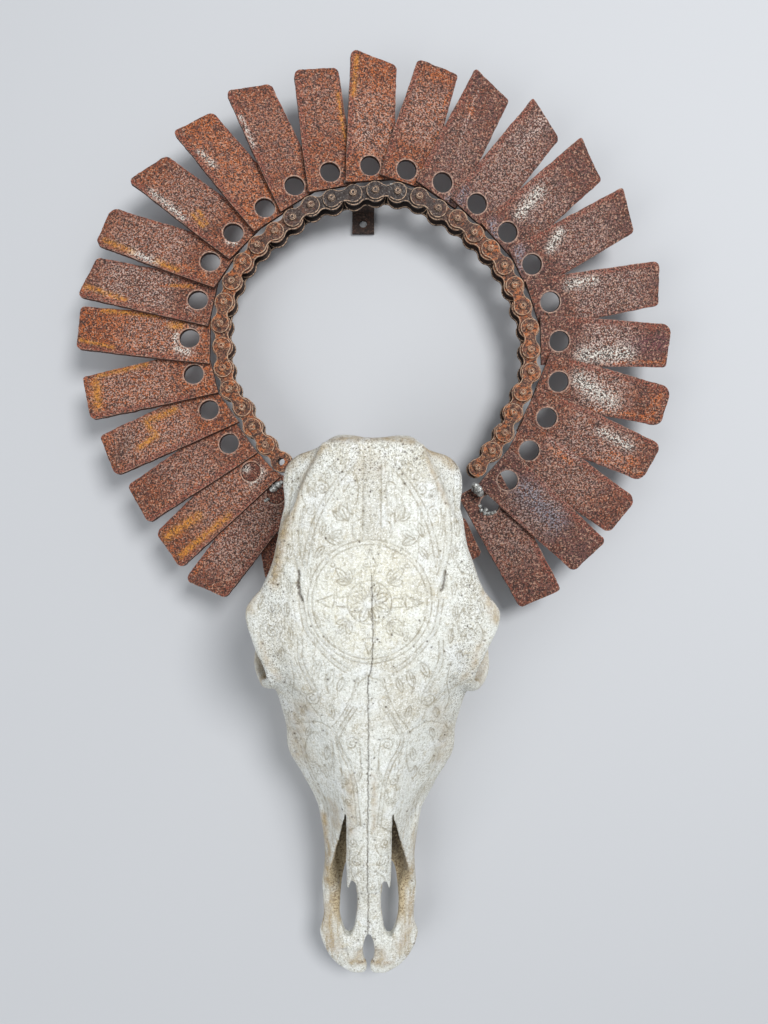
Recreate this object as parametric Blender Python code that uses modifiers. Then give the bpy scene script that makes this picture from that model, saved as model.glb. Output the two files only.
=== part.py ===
"""Carved cow skull with a halo of steel beaters on a roller chain.

It lies on its back with the face up (+Z) and the ring towards +Y.
All lengths below are millimetres. MM turns them into metres when a mesh is made.
"""
import math

import bmesh
import bpy
from mathutils import Matrix, Vector

MM = 0.001
TOUCH_GAP = 0.3            # what touches keeps this much air
CUTTER_REACH = 20.0        # a cutter stands out this much on both sides of what it cuts
WELD_DISTANCE = 0.01       # points nearer than this become one

# Ring of blades: its middle, seen from the front
RING_X = -0.8
RING_Y = 140.6

# Roller chain of 3/4 inch pitch
PITCH = 19.05
CHAIN_Z = 36.0             # middle plane of the chain above the floor
INNER_WIDTH = 12.6         # between the inner plates
PLATE_THICK = 2.3
INNER_PLATE_R = 9.05       # half of the plate's height
OUTER_PLATE_R = 7.8
PLATE_WAIST = 0.62         # waist height as a share of the end height
PLATE_END_ARC = 72         # degrees of the round end on each side of its middle
PLATE_ARC_STEPS = 3
ROUND_SIDES = 6            # of rollers and pins
ROLLER_R = 5.95
PIN_R = 2.97
PIN_HALF = 12.7
BORE_R = 3.2
CHAIN_START = (-80.8, 47.1)
# Direction of every link in turn, in degrees, from the left end over the top to the right end
LINK_HEADINGS = [
    132, 127, 117, 126, 106, 93, 94, 80, 70, 60, 49, 39, 37, 35, 17, 13, 9,
    -3, -14, -32, -28, -40, -45, -51, -62, -69, -72, -87, -89, -112, -115, -113, -124, -131,
]

# Beaters of a hammer mill
BLADE_WIDTH = 41.5
BLADE_TIP_WIDTH = 38.5
BLADE_THICK = 4.0
BLADE_LENGTH = 119.0
BLADE_CORNER = 4.0         # worn corners of the tip
CORNER_RUN = 0.25          # share of it by which the end edge is bent back
HOLE_R = 8.5
HOLE_TO_END = 20.0
HOLE_SIDES = 10
BLADE_Z = 42.0             # middle plane on the blade's own axis
BLADE_TILT = 9.6           # the anticlockwise edge is the high one
# Hole angle and radius, tip angle, tip radius on the anticlockwise and on the clockwise side
BLADES = [
    (235.5, 148, 234.5, 247, 255),
    (224.2, 147, 223.9, 248, 245),
    (212.2, 147, 212.7, 243, 242),
    (199.2, 150, 201.2, 247, 247),
    (186.9, 156, 189.0, 251, 252),
    (175.6, 159, 175.2, 255, 257),
    (163.4, 158, 164.9, 259, 254),
    (151.0, 161, 154.3, 259, 259),
    (139.6, 159, 140.8, 257, 249),
    (127.0, 156, 128.1, 256, 252),
    (115.5, 159, 115.5, 257, 251),
    (103.7, 160, 101.9, 251, 251),
    (91.2, 161, 90.3, 260, 252),
    (79.9, 160, 77.8, 254, 254),
    (68.1, 158, 66.6, 258, 250),
    (55.4, 156, 53.8, 256, 245),
    (42.1, 155, 41.8, 256, 247),
    (29.3, 156, 29.4, 256, 249),
    (16.2, 158, 14.0, 256, 252),
    (3.7, 160, 1.5, 256, 255),
    (-8.8, 161, -10.4, 257, 257),
    (-20.5, 159, -21.5, 259, 258),
    (-32.1, 158, -33.1, 258, 257),
    (-43.5, 159, -43.3, 257, 256),
    (-52.2, 165, -55.2, 261, 258),
]
TIP_AIM_R = 241.0          # where the tip angle is taken
LAST_BLADE_Z = 33.6        # the last blade lies flat under its neighbour

# Two more blades, crossed behind the skull: end of the axis, its direction and its height
REAR_LEFT = ((-99.3, -38.3), 190.9, 34.3)
REAR_RIGHT = ((87.0, -16.0), 24.9, 29.0)

# Hanging tab, a bent strap under the top of the chain
TAB_X = -11.0
TAB_WIDTH = 20.0
TAB_THICK = 5.0
TAB_INNER_Y = 258.0
TAB_OUTER_Y = 300.0
TAB_UPRIGHT_Y = 277.0
TAB_HOLE_Y = 267.0
TAB_HOLE_R = 3.5
TAB_HOLE_SIDES = 12

# Skull: its midline on the floor plan
SKULL_X = -0.3
SKULL_Y = 40.0
SKULL_YAW = -0.7           # degrees

# Half cross-sections from the top midline round to the bottom midline
SKULL_SECTIONS = [
    (61, [(0, 136), (14, 135), (25, 132), (30, 126), (30, 118), (26, 110), (18, 104), (9, 101), (0, 100)]),
    (55, [(0, 145), (17, 144), (29, 140.5), (36, 131), (37, 116), (34, 99), (29, 80), (18, 66), (0, 62)]),
    (51, [(0, 146.5), (21, 145.5), (35, 140.5), (42, 130), (43, 114), (40, 95), (34, 75), (22, 57), (0, 52)]),
    (46, [(0, 147.5), (27, 146), (47, 139.5), (56, 127), (57, 109), (52, 88), (43, 64), (28, 46), (0, 40)]),
    (38, [(0, 148.5), (29, 146.5), (53, 138), (64.5, 124), (64.5, 105), (54, 83), (45, 61), (27, 43), (0, 38)]),
    (28, [(0, 149), (30, 147), (55, 138), (68, 122), (62, 102), (52, 80), (45, 60), (26, 42), (0, 38)]),
    (5, [(0, 149), (32, 147), (58, 138), (68.5, 124), (56, 110), (47, 86), (41, 62), (22, 43), (0, 38)]),
    (-25, [(0, 149), (34, 146), (61.5, 137), (72, 126), (56, 113), (44, 90), (37, 64), (20, 44), (0, 38)]),
    (-50, [(0, 148), (38, 144), (67, 134), (80, 123), (60, 113), (42, 93), (34, 68), (18, 46), (0, 39)]),
    (-73, [(0, 146), (44, 141), (79, 129), (96, 118), (66, 111), (42, 96), (32, 72), (18, 50), (0, 41)]),
    (-100, [(0, 141), (42, 136), (72, 127), (87, 117), (70, 106), (48, 92), (38, 66), (24, 42), (0, 38)]),
    (-125, [(0, 135), (36, 130), (62, 118), (76, 103), (84, 78), (66, 58), (55, 24), (36, 22), (0, 34)]),
    (-143, [(0, 131), (30, 126), (54, 110), (73, 91), (76, 75), (66, 54), (57, 23), (36, 21), (0, 33)]),
    (-170, [(0, 124), (24, 119), (45, 103), (64, 84), (70, 71), (62, 52), (56, 22), (34, 20), (0, 32)]),
    (-195, [(0, 117), (20, 112), (38, 96), (57.5, 78), (68, 66), (61, 50), (53, 22), (32, 20), (0, 31)]),
    (-222, [(0, 110), (18, 106), (31, 89), (45, 72), (55, 57), (54, 45), (49, 23), (28, 22), (0, 30)]),
    (-246, [(0, 103), (17, 98), (25, 84), (34, 68), (43.5, 53), (44.5, 42), (40, 27), (24, 25), (0, 28)]),
]
SECTION_STEP = 6.0
RING_STEPS = 3             # between two points of a section
LINE_STEP = 0.34           # along bars, as a share of the way between two of their points
OVAL_SIDES = 12
OVAL_SQUARENESS = 0.8      # 1 is an ellipse
PASSAGE_SQUARENESS = 0.7
BALL_SIDES = (20, 12)
BAR_ROUNDNESS = 2

# Air passage of the nose: half-width, bottom and top at each station
NOSE_PASSAGE = [(-175, 8, 60, 92), (-200, 22, 42, 98), (-225, 28, 36, 96), (-250, 30, 34, 90), (-345, 30, 34, 84)]
# Roof of the nose in front of the face: half-width and ridge height at each station
NASAL_ROOF = [(-205, 17, 114), (-225, 17.5, 109), (-250, 18.5, 102.5), (-277, 18.6, 96), (-303, 18.3, 88)]
NASAL_THICK = 4.5
NASAL_DROP = 12.0          # its sides lie this much lower than its ridge
NASAL_INNER_SHARE = 0.72   # width of its underside
# Premaxilla on each side: middle x and z, half-width and half-height
PREMAXILLA = [
    (-222, 43, 54, 6, 13), (-240, 40, 50, 4.5, 13), (-254, 37.6, 51, 4.7, 12), (-270, 34.9, 49.5, 4.5, 10.5),
    (-285, 33.2, 47, 4.5, 9.5), (-300, 33.4, 43, 4.9, 8.3), (-312, 33.4, 40, 7, 7), (-320, 33, 38, 8, 6.5),
    (-333, 32.4, 37, 7.8, 6),
    (-345, 32, 36, 7.4, 5.6), (-353, 31.3, 35.5, 9.4, 5.5), (-361, 28.3, 34.5, 14.8, 5.5), (-369, 24.6, 34, 17, 5.5),
    (-377, 21.4, 33.5, 17.2, 5), (-385, 18.8, 32.5, 15.4, 5), (-392, 14.9, 31, 14, 4.5), (-397, 11.6, 30, 10.7, 4),
    (-401, 9.5, 29, 6.5, 3),
]
# Bars beside the midline and the bony palate: middle z, half-width, half-height
MIDLINE_BARS = [(-240, 36, 9, 9), (-296, 39, 11, 7), (-340, 37, 11, 6), (-352, 36, 13.5, 5.8), (-376, 35, 13.5, 5.5)]
PALATE = [(-230, 29, 32, 4), (-330, 31, 33, 3.5)]
# Zygomatic arch: x, y, z of its middle line
ZYGOMATIC = [(50, 14, 66), (62, 2, 68), (71, -22, 71), (79, -48, 74), (86, -76, 70), (84, -104, 60), (76, -130, 66)]
ZYGOMATIC_R = 7.0
ORBIT = (84, -103, 88)     # middle of the rim
ORBIT_R = 30.0
# x of its rim at even steps, from the rear edge over the brow and round to the start
ORBIT_RIM_X = (89.5, 88, 81, 75.5, 83, 91.5, 91, 89, 89.5)
ORBIT_RIM_R = 6.0
ORBIT_EDGE = 4.0           # the socket is this much narrower than the middle line of its rim
ORBIT_DEPTH = 44.0
ORBIT_SHIFT = 2.0          # the socket's middle lies this much outside the rim's
ORBIT_TURN = 10.0          # degrees
# Openings and the rounded condyle: middle, then half-sizes
FORAMEN_MAGNUM = ((0, 52, 58), (13, 26, 12))
TEMPORAL_FOSSA = ((66, -38, 92), (18, 34, 19))
POLL_DIP = ((0, 74.5, 134), (23, 15.5, 36))
FISSURE = ((18, -333, 36), (6.8, 32, 24))
TIP_GAP = ((0, -376, 34), (4.5, 14.5, 20))
TIP_PARTING = ((0, -404, 34), (2.4, 14, 20))
CONDYLE = ((21, 44, 45), (14, 13, 16))
# Process beside the condyle: its middle line
JUGULAR = [(39.6, 24, 60), (44, 20, 40), (41.8, 19, 24)]
JUGULAR_R = 6.5
TOOTH_ROW = [(49, -132), (48, -153), (47, -174), (45, -195), (42, -214), (38, -231)]
TOOTH_SIZE = (19, 18.5, 30)
TOOTH_FOOT = 0.4           # softening brings the grinding faces down to the floor
SKULL_VOXEL = 2.2
SOFTEN_SHARE = 0.5
SOFTEN_ROUNDS = 4
SKULL_TRIANGLES = 2200

BONE = ("weathered_bone", (0.80, 0.76, 0.66), 0.62, 0.0)
RUST = ("rusted_steel", (0.30, 0.12, 0.06), 0.82, 0.35)
DARK_RUST = ("rusted_chain_steel", (0.24, 0.12, 0.07), 0.78, 0.45)


def remove_all_objects():
    for item in list(bpy.data.objects):
        bpy.data.objects.remove(item, do_unlink=True)


def new_collection(name):
    group = bpy.data.collections.new(name)
    bpy.context.scene.collection.children.link(group)
    return group


def make_material(values):
    name, colour, roughness, metallic = values
    made = bpy.data.materials.new(name)
    made.use_nodes = True
    shader = made.node_tree.nodes["Principled BSDF"]
    shader.inputs["Base Color"].default_value = (*colour, 1.0)
    shader.inputs["Roughness"].default_value = roughness
    shader.inputs["Metallic"].default_value = metallic
    return made


def add_object(name, mesh, group, finish=None):
    item = bpy.data.objects.new(name, mesh)
    group.objects.link(item)
    if finish:
        mesh.materials.append(finish)
    return item


def mesh_from(bm, name):
    bmesh.ops.recalc_face_normals(bm, faces=bm.faces)
    mesh = bpy.data.meshes.new(name)
    bm.to_mesh(mesh)
    bm.free()
    return mesh


def evaluated_mesh(item, name):
    """The item's mesh after its modifiers; the item itself is removed."""
    bpy.context.view_layer.update()
    seen = item.evaluated_get(bpy.context.evaluated_depsgraph_get())
    mesh = bpy.data.meshes.new_from_object(seen)
    mesh.name = name
    bpy.data.objects.remove(item, do_unlink=True)
    return mesh


def arc(middle, radius, start, end, steps):
    """Points on an arc, angles in degrees."""
    angles = [math.radians(start + (end - start) * i / steps) for i in range(steps + 1)]
    return [(middle[0] + radius * math.cos(a), middle[1] + radius * math.sin(a)) for a in angles]


def flat_solid(name, loops, thickness, group):
    """A flat closed outline with its holes, given a thickness about z = 0."""
    curve = bpy.data.curves.new(name, "CURVE")
    curve.dimensions = "2D"
    curve.fill_mode = "BOTH"
    curve.extrude = thickness / 2 * MM
    for points in loops:
        spline = curve.splines.new("POLY")
        spline.points.add(len(points) - 1)
        spline.use_cyclic_u = True
        for knot, (x, y) in zip(spline.points, points):
            knot.co = (x * MM, y * MM, 0, 1)
    mesh = evaluated_mesh(add_object(name, curve, group), name)
    bm = bmesh.new()
    bm.from_mesh(mesh)
    bmesh.ops.remove_doubles(bm, verts=bm.verts, dist=WELD_DISTANCE * MM)
    bpy.data.meshes.remove(mesh)
    return mesh_from(bm, name)


def cylinder(name, place, radius, low, high, sides, group):
    bm = bmesh.new()
    middle = Vector((place[0], place[1], (low + high) / 2)) * MM
    bmesh.ops.create_cone(bm, cap_ends=True, segments=sides, radius1=radius * MM, radius2=radius * MM,
                          depth=(high - low) * MM, matrix=Matrix.Translation(middle))
    return add_object(name, mesh_from(bm, name), group)


def joined(name, items, group, finish, cuts=()):
    """One solid from overlapping ones, by Boolean union, less what the cuts take away."""
    body = items[0]
    for other in items[1:]:
        step = body.modifiers.new("union", "BOOLEAN")
        step.operation = "UNION"
        step.object = other
    for other in cuts:
        step = body.modifiers.new("cut", "BOOLEAN")
        step.operation = "DIFFERENCE"
        step.object = other
    mesh = evaluated_mesh(body, name)
    for other in [*items[1:], *cuts]:
        bpy.data.objects.remove(other, do_unlink=True)
    mesh.materials.clear()
    return add_object(name, mesh, group, finish)


# Roller chain

def chain_places():
    places = [Vector(CHAIN_START)]
    for heading in LINK_HEADINGS:
        turn = math.radians(heading)
        places.append(places[-1] + PITCH * Vector((math.cos(turn), math.sin(turn))))
    return places


def link_plate(name, start, end, radius, z, group):
    """A waisted link plate between two pin places."""
    along = end - start
    heading = math.degrees(math.atan2(along.y, along.x))
    middle = (start + end) / 2
    across = Vector((-along.y, along.x)).normalized() * radius * PLATE_WAIST
    outline = arc(end, radius, heading - PLATE_END_ARC, heading + PLATE_END_ARC, PLATE_ARC_STEPS)
    outline.append(tuple(middle + across))
    back = heading + 180
    outline += arc(start, radius, back - PLATE_END_ARC, back + PLATE_END_ARC, PLATE_ARC_STEPS)
    outline.append(tuple(middle - across))
    plate = add_object(name, flat_solid(name, [outline], PLATE_THICK, group), group)
    plate.location.z = z * MM
    return plate


def link_pair(number, places, group, guides, finish):
    """An inner link with its rollers and the outer link that follows it, with its pins."""
    first, shared, last = places
    inner_z = INNER_WIDTH / 2 + PLATE_THICK / 2
    outer_z = inner_z + PLATE_THICK + TOUCH_GAP
    sides = []
    for side in (1, -1):
        sides.append(link_plate("inner_plate", first, shared, INNER_PLATE_R, CHAIN_Z + side * inner_z, guides))
        sides.append(link_plate("outer_plate", shared, last, OUTER_PLATE_R, CHAIN_Z + side * outer_z, guides))
    reach = INNER_WIDTH / 2 + PLATE_THICK / 2
    rollers = [cylinder("roller", p, ROLLER_R, CHAIN_Z - reach, CHAIN_Z + reach, ROUND_SIDES, guides)
               for p in (first, shared)]
    pin = cylinder("pin", shared, PIN_R, CHAIN_Z - PIN_HALF, CHAIN_Z + PIN_HALF, ROUND_SIDES, guides)
    heads = [cylinder("pin_end", last, PIN_R, CHAIN_Z + low, CHAIN_Z + high, ROUND_SIDES, guides)
             for low, high in ((outer_z, PIN_HALF), (-PIN_HALF, -outer_z))]
    cuts = []
    if number == 0:
        cuts.append(cylinder("open_bushing", first, BORE_R, CHAIN_Z - CUTTER_REACH, CHAIN_Z + CUTTER_REACH,
                             ROUND_SIDES, guides))
    return joined(f"chain_links_{number:02d}", [*rollers, *sides, pin, *heads], group, finish, cuts)


def make_chain(group, guides, finish):
    places = chain_places()
    for number in range(len(LINK_HEADINGS) // 2):
        link_pair(number, places[2 * number:2 * number + 3], group, guides, finish)


# Blades

def end_clear_of_chain(hole, axis, places):
    """How far the inner end may lie from the hole before it meets a link."""
    side = Vector((-axis.y, axis.x))
    reach = INNER_PLATE_R + TOUCH_GAP
    best = HOLE_TO_END
    for place in places:
        inward = (hole - place).dot(axis)
        beside = max(0.0, abs((place - hole).dot(side)) - BLADE_WIDTH / 2)
        if beside < reach and inward > 0:
            best = min(best, inward - math.sqrt(reach * reach - beside * beside))
    return best


def blade_outline(inner, tip_high, tip_low):
    """Outline about the hole: x runs outwards, y is the anticlockwise side."""
    root = BLADE_WIDTH / 2
    tip = BLADE_TIP_WIDTH / 2
    c = BLADE_CORNER
    return [
        (-inner, -root), (tip_low - c, -tip), (tip_low - c * CORNER_RUN, -tip + c),
        (tip_high - c * CORNER_RUN, tip - c), (tip_high - c, tip), (-inner, root),
    ]


def place_blade(name, outline, spot, heading, z, tilt, group, finish):
    hole = arc((0, 0), HOLE_R, 0, 360 - 360 / HOLE_SIDES, HOLE_SIDES - 1)
    blade = add_object(name, flat_solid(name, [outline, hole], BLADE_THICK, group), group, finish)
    turn = Matrix.Rotation(math.radians(heading), 4, "Z") @ Matrix.Rotation(math.radians(tilt), 4, "X")
    blade.matrix_world = Matrix.Translation(Vector((spot[0], spot[1], z)) * MM) @ turn
    return blade


def polar(angle, radius):
    turn = math.radians(angle)
    return Vector((RING_X + radius * math.cos(turn), RING_Y + radius * math.sin(turn)))


def make_blades(group, finish):
    places = chain_places()
    for number, (hole_angle, hole_r, tip_angle, tip_high, tip_low) in enumerate(BLADES):
        hole = polar(hole_angle, hole_r)
        axis = (polar(tip_angle, TIP_AIM_R) - hole).normalized()
        inner = end_clear_of_chain(hole, axis, places)
        outline = blade_outline(inner, tip_high - hole_r, tip_low - hole_r)
        heading = math.degrees(math.atan2(axis.y, axis.x))
        last = number == len(BLADES) - 1
        z, tilt = (LAST_BLADE_Z, 0.0) if last else (BLADE_Z, BLADE_TILT)
        place_blade(f"blade_{number:02d}", outline, hole, heading, z, tilt, group, finish)


def make_rear_blades(group, finish):
    reach = BLADE_LENGTH - HOLE_TO_END
    outline = blade_outline(HOLE_TO_END, reach, reach)
    for name, (end, heading, z) in (("rear_blade_left", REAR_LEFT), ("rear_blade_right", REAR_RIGHT)):
        turn = math.radians(heading)
        hole = Vector(end) - reach * Vector((math.cos(turn), math.sin(turn)))
        place_blade(name, outline, hole, heading, z, 0.0, group, finish)


# Hanging tab

def make_tab(group, guides, finish):
    low_y = TAB_INNER_Y
    top = CHAIN_Z - PIN_HALF - TOUCH_GAP
    profile = [
        (low_y, 0), (TAB_OUTER_Y, 0), (TAB_OUTER_Y, TAB_THICK), (TAB_UPRIGHT_Y + TAB_THICK, TAB_THICK),
        (TAB_UPRIGHT_Y + TAB_THICK, top), (TAB_UPRIGHT_Y, top), (TAB_UPRIGHT_Y, TAB_THICK), (low_y, TAB_THICK),
    ]
    strap = add_object("strap", flat_solid("strap", [profile], TAB_WIDTH, guides), guides)
    strap.matrix_world = Matrix.Translation(Vector((TAB_X, 0, 0)) * MM) @ Matrix(
        ((0, 0, 1, 0), (1, 0, 0, 0), (0, 1, 0, 0), (0, 0, 0, 1)))
    hole = cylinder("tab_hole", (TAB_X, TAB_HOLE_Y), TAB_HOLE_R, -CUTTER_REACH, CUTTER_REACH, TAB_HOLE_SIDES, guides)
    bpy.context.view_layer.update()
    strap.data.transform(strap.matrix_world)
    strap.matrix_world = Matrix()
    joined("hanging_tab", [strap], group, finish, [hole])


# Skull

def smooth_rows(keys, rows, step):
    """Rows of numbers between the given keys, on a cubic through all of them."""
    slopes = []
    for i in range(len(keys)):
        a = max(0, i - 1)
        b = min(len(keys) - 1, i + 1)
        slopes.append([(q - p) / (keys[b] - keys[a]) for p, q in zip(rows[a], rows[b])])
    made = [(keys[0], rows[0])]
    for i in range(len(keys) - 1):
        span = keys[i + 1] - keys[i]
        count = max(1, round(abs(span) / step))
        for j in range(1, count + 1):
            t = j / count
            h = (2 * t**3 - 3 * t**2 + 1, (t**3 - 2 * t**2 + t) * span, 3 * t**2 - 2 * t**3, (t**3 - t**2) * span)
            row = [h[0] * p + h[1] * m + h[2] * q + h[3] * n
                   for p, m, q, n in zip(rows[i], slopes[i], rows[i + 1], slopes[i + 1])]
            made.append((keys[i] + span * t, row))
    return made


def smooth_ring(points, steps):
    """A closed ring through all points."""
    count = len(points)
    looped = [*points, points[0]]
    keys = list(range(-1, count + 2))
    padded = [points[-1], *looped, points[1]]
    rows = smooth_rows(keys, padded, 1 / steps)
    return [row for key, row in rows if -1e-6 < key < count - 1e-6]


def loft(name, rings, group):
    """A closed skin over rings of equal count, each a list of x, y, z."""
    bm = bmesh.new()
    loops = [[bm.verts.new(Vector(p) * MM) for p in ring] for ring in rings]
    for low, high in zip(loops, loops[1:]):
        for i in range(len(low)):
            j = (i + 1) % len(low)
            bm.faces.new((low[i], low[j], high[j], high[i]))
    bm.faces.new(loops[0])
    bm.faces.new(loops[-1])
    return add_object(name, mesh_from(bm, name), group)


def head_and_face(guides):
    keys = [y for y, half in SKULL_SECTIONS]
    rows = [[value for point in half for value in point] for y, half in SKULL_SECTIONS]
    rings = []
    for y, row in smooth_rows(keys, rows, SECTION_STEP):
        half = list(zip(row[0::2], row[1::2]))
        whole = half + [(-x, z) for x, z in reversed(half[1:-1])]
        rings.append([(x, y, z) for x, z in smooth_ring(whole, RING_STEPS)])
    return loft("head_and_face", rings, guides)


def oval_loft(name, stations, guides, squareness=OVAL_SQUARENESS):
    """A bar along y with oval sections: y, middle x, middle z, half-width, half-height."""
    rings = []
    for y, (x, z, half_x, half_z) in smooth_rows([s[0] for s in stations], [s[1:] for s in stations], SECTION_STEP):
        ring = []
        for i in range(OVAL_SIDES):
            turn = 2 * math.pi * (i + 0.5) / OVAL_SIDES
            c, s = math.cos(turn), math.sin(turn)
            ring.append((x + half_x * math.copysign(abs(c)**squareness, c), y,
                         z + half_z * math.copysign(abs(s)**squareness, s)))
        rings.append(ring)
    return loft(name, rings, guides)


def nasal_roof(guides):
    """The arched nasal bones in front of the face."""
    rings = []
    keys = [s[0] for s in NASAL_ROOF]
    for y, (half, top) in smooth_rows(keys, [s[1:] for s in NASAL_ROOF], SECTION_STEP):
        turns = [math.radians(a) for a in range(-90, 91, 30)]
        outer = [(half * math.sin(a), top - NASAL_DROP * (1 - math.cos(a))) for a in turns]
        inner = [(x * NASAL_INNER_SHARE, z - NASAL_THICK) for x, z in reversed(outer)]
        rings.append([(x, y, z) for x, z in outer + inner])
    return loft("nasal_roof", rings, guides)


def ball(name, shape, group, side=1, turn=0):
    """An ellipsoid from its middle and half-sizes; side -1 mirrors it, and turn is about Z, in degrees."""
    (x, y, z), size = shape
    bm = bmesh.new()
    place = Matrix.Translation(Vector((side * x, y, z)) * MM) @ Matrix.Rotation(math.radians(side * turn), 4, "Z")
    stretch = Matrix.Diagonal((*(Vector(size) * MM), 1))
    u, v = BALL_SIDES
    bmesh.ops.create_uvsphere(bm, u_segments=u, v_segments=v, radius=1, matrix=place @ stretch)
    return add_object(name, mesh_from(bm, name), group)


def bar(name, points, radius, guides):
    """A round bar along a smooth line, as a closed mesh."""
    curve = bpy.data.curves.new(name, "CURVE")
    curve.dimensions = "3D"
    curve.bevel_depth = radius * MM
    curve.bevel_resolution = BAR_ROUNDNESS
    curve.use_fill_caps = True
    spline = curve.splines.new("POLY")
    rows = smooth_rows(list(range(len(points))), points, LINE_STEP)
    spline.points.add(len(rows) - 1)
    for knot, (key, (x, y, z)) in zip(spline.points, rows):
        knot.co = (x * MM, y * MM, z * MM, 1)
    mesh = evaluated_mesh(add_object(name, curve, guides), name)
    bm = bmesh.new()
    bm.from_mesh(mesh)
    bmesh.ops.remove_doubles(bm, verts=bm.verts, dist=WELD_DISTANCE * MM)
    bpy.data.meshes.remove(mesh)
    return add_object(name, mesh_from(bm, name), guides)


def rim(side, guides):
    """The bony rim of one eye socket."""
    x, y, z = ORBIT
    points = []
    for i, rim_x in enumerate(ORBIT_RIM_X):
        turn = 2 * math.pi * i / (len(ORBIT_RIM_X) - 1)
        points.append((side * rim_x, y + ORBIT_R * math.cos(turn), z + ORBIT_R * math.sin(turn)))
    return bar("orbit_rim", points, ORBIT_RIM_R, guides)


def tooth(side, place, guides):
    width, length, height = TOOTH_SIZE
    bm = bmesh.new()
    middle = Vector((side * place[0], place[1], height / 2 + TOOTH_FOOT)) * MM
    size = Matrix.Diagonal((width * MM, length * MM, height * MM, 1))
    bmesh.ops.create_cube(bm, size=1, matrix=Matrix.Translation(middle) @ size)
    return add_object("tooth", mesh_from(bm, "tooth"), guides)


def skull_pieces(guides):
    pieces = [head_and_face(guides), nasal_roof(guides)]
    bars = [(y, 0, z, half_x, half_z) for y, z, half_x, half_z in MIDLINE_BARS]
    palate = [(y, 0, z, half_x, half_z) for y, z, half_x, half_z in PALATE]
    pieces.append(oval_loft("midline_bars", bars, guides))
    pieces.append(oval_loft("palate", palate, guides))
    for side in (1, -1):
        pieces.append(oval_loft("premaxilla", [(y, side * x, z, a, b) for y, x, z, a, b in PREMAXILLA], guides))
        pieces.append(bar("zygomatic_arch", [(side * x, y, z) for x, y, z in ZYGOMATIC], ZYGOMATIC_R, guides))
        pieces.append(rim(side, guides))
        pieces.append(ball("condyle", CONDYLE, guides, side))
        pieces.append(bar("jugular_process", [(side * x, y, z) for x, y, z in JUGULAR], JUGULAR_R, guides))
        pieces += [tooth(side, place, guides) for place in TOOTH_ROW]
    return pieces


def skull_cuts(group):
    cuts = []
    passage = [(y, 0, (low + high) / 2, half, (high - low) / 2) for y, half, low, high in NOSE_PASSAGE]
    cuts.append(oval_loft("nose_passage", passage, group, PASSAGE_SQUARENESS))
    cuts.append(ball("foramen_magnum", FORAMEN_MAGNUM, group))
    cuts.append(ball("poll_dip", POLL_DIP, group))
    cuts.append(ball("tip_gap", TIP_GAP, group))
    cuts.append(ball("tip_parting", TIP_PARTING, group))
    opening = ORBIT_R - ORBIT_EDGE
    orbit = ((ORBIT[0] + ORBIT_SHIFT, *ORBIT[1:]), (ORBIT_DEPTH, opening, opening))
    for side in (1, -1):
        cuts.append(ball("orbit", orbit, group, side, ORBIT_TURN))
        cuts.append(ball("palatine_fissure", FISSURE, group, side))
        cuts.append(ball("temporal_fossa", TEMPORAL_FOSSA, group, side))
    return cuts


def merged_shells(name, pieces, group):
    """Several shells in one object, for the modifiers that weld them."""
    bm = bmesh.new()
    for piece in pieces:
        bm.from_mesh(piece.data)
        bpy.data.objects.remove(piece, do_unlink=True)
    mesh = bpy.data.meshes.new(name)
    bm.to_mesh(mesh)
    bm.free()
    return add_object(name, mesh, group)


def remesh(item, voxel):
    step = item.modifiers.new("fuse", "REMESH")
    step.mode = "VOXEL"
    step.voxel_size = voxel * MM
    step.adaptivity = 0


def make_skull(group, guides, cutters, finish):
    whole = merged_shells("whole", skull_pieces(guides), guides)
    cut = merged_shells("skull_cutters", skull_cuts(cutters), cutters)
    remesh(whole, SKULL_VOXEL)
    remesh(cut, SKULL_VOXEL)
    step = whole.modifiers.new("openings", "BOOLEAN")
    step.operation = "DIFFERENCE"
    step.object = cut
    remesh(whole, SKULL_VOXEL)
    soften = whole.modifiers.new("soften", "SMOOTH")
    soften.factor = SOFTEN_SHARE
    soften.iterations = SOFTEN_ROUNDS
    mesh = evaluated_mesh(whole, "skull")
    skull = add_object("skull", mesh, group, finish)
    fewer = skull.modifiers.new("facets", "DECIMATE")
    mesh.calc_loop_triangles()
    fewer.ratio = SKULL_TRIANGLES / len(mesh.loop_triangles)
    turn = Matrix.Rotation(math.radians(SKULL_YAW), 4, "Z")
    pivot = Vector((SKULL_X, SKULL_Y, 0)) * MM
    skull.matrix_world = Matrix.Translation(pivot) @ turn @ Matrix.Translation(-Vector((0, SKULL_Y, 0)) * MM)
    cut.matrix_world = skull.matrix_world
    return skull


def main():
    remove_all_objects()
    parts = new_collection("carved_cow_skull")
    cutters = new_collection("cutters")
    bone = make_material(BONE)
    rust = make_material(RUST)
    dark_rust = make_material(DARK_RUST)
    make_chain(parts, cutters, dark_rust)
    make_blades(parts, rust)
    make_rear_blades(parts, rust)
    make_tab(parts, cutters, dark_rust)
    make_skull(parts, cutters, cutters, bone)
    for guide in cutters.objects:
        guide.hide_render = True
        guide.display_type = "WIRE"


main()
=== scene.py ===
import math

import bmesh
import bpy
import numpy as np
from mathutils import Matrix, Vector


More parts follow.
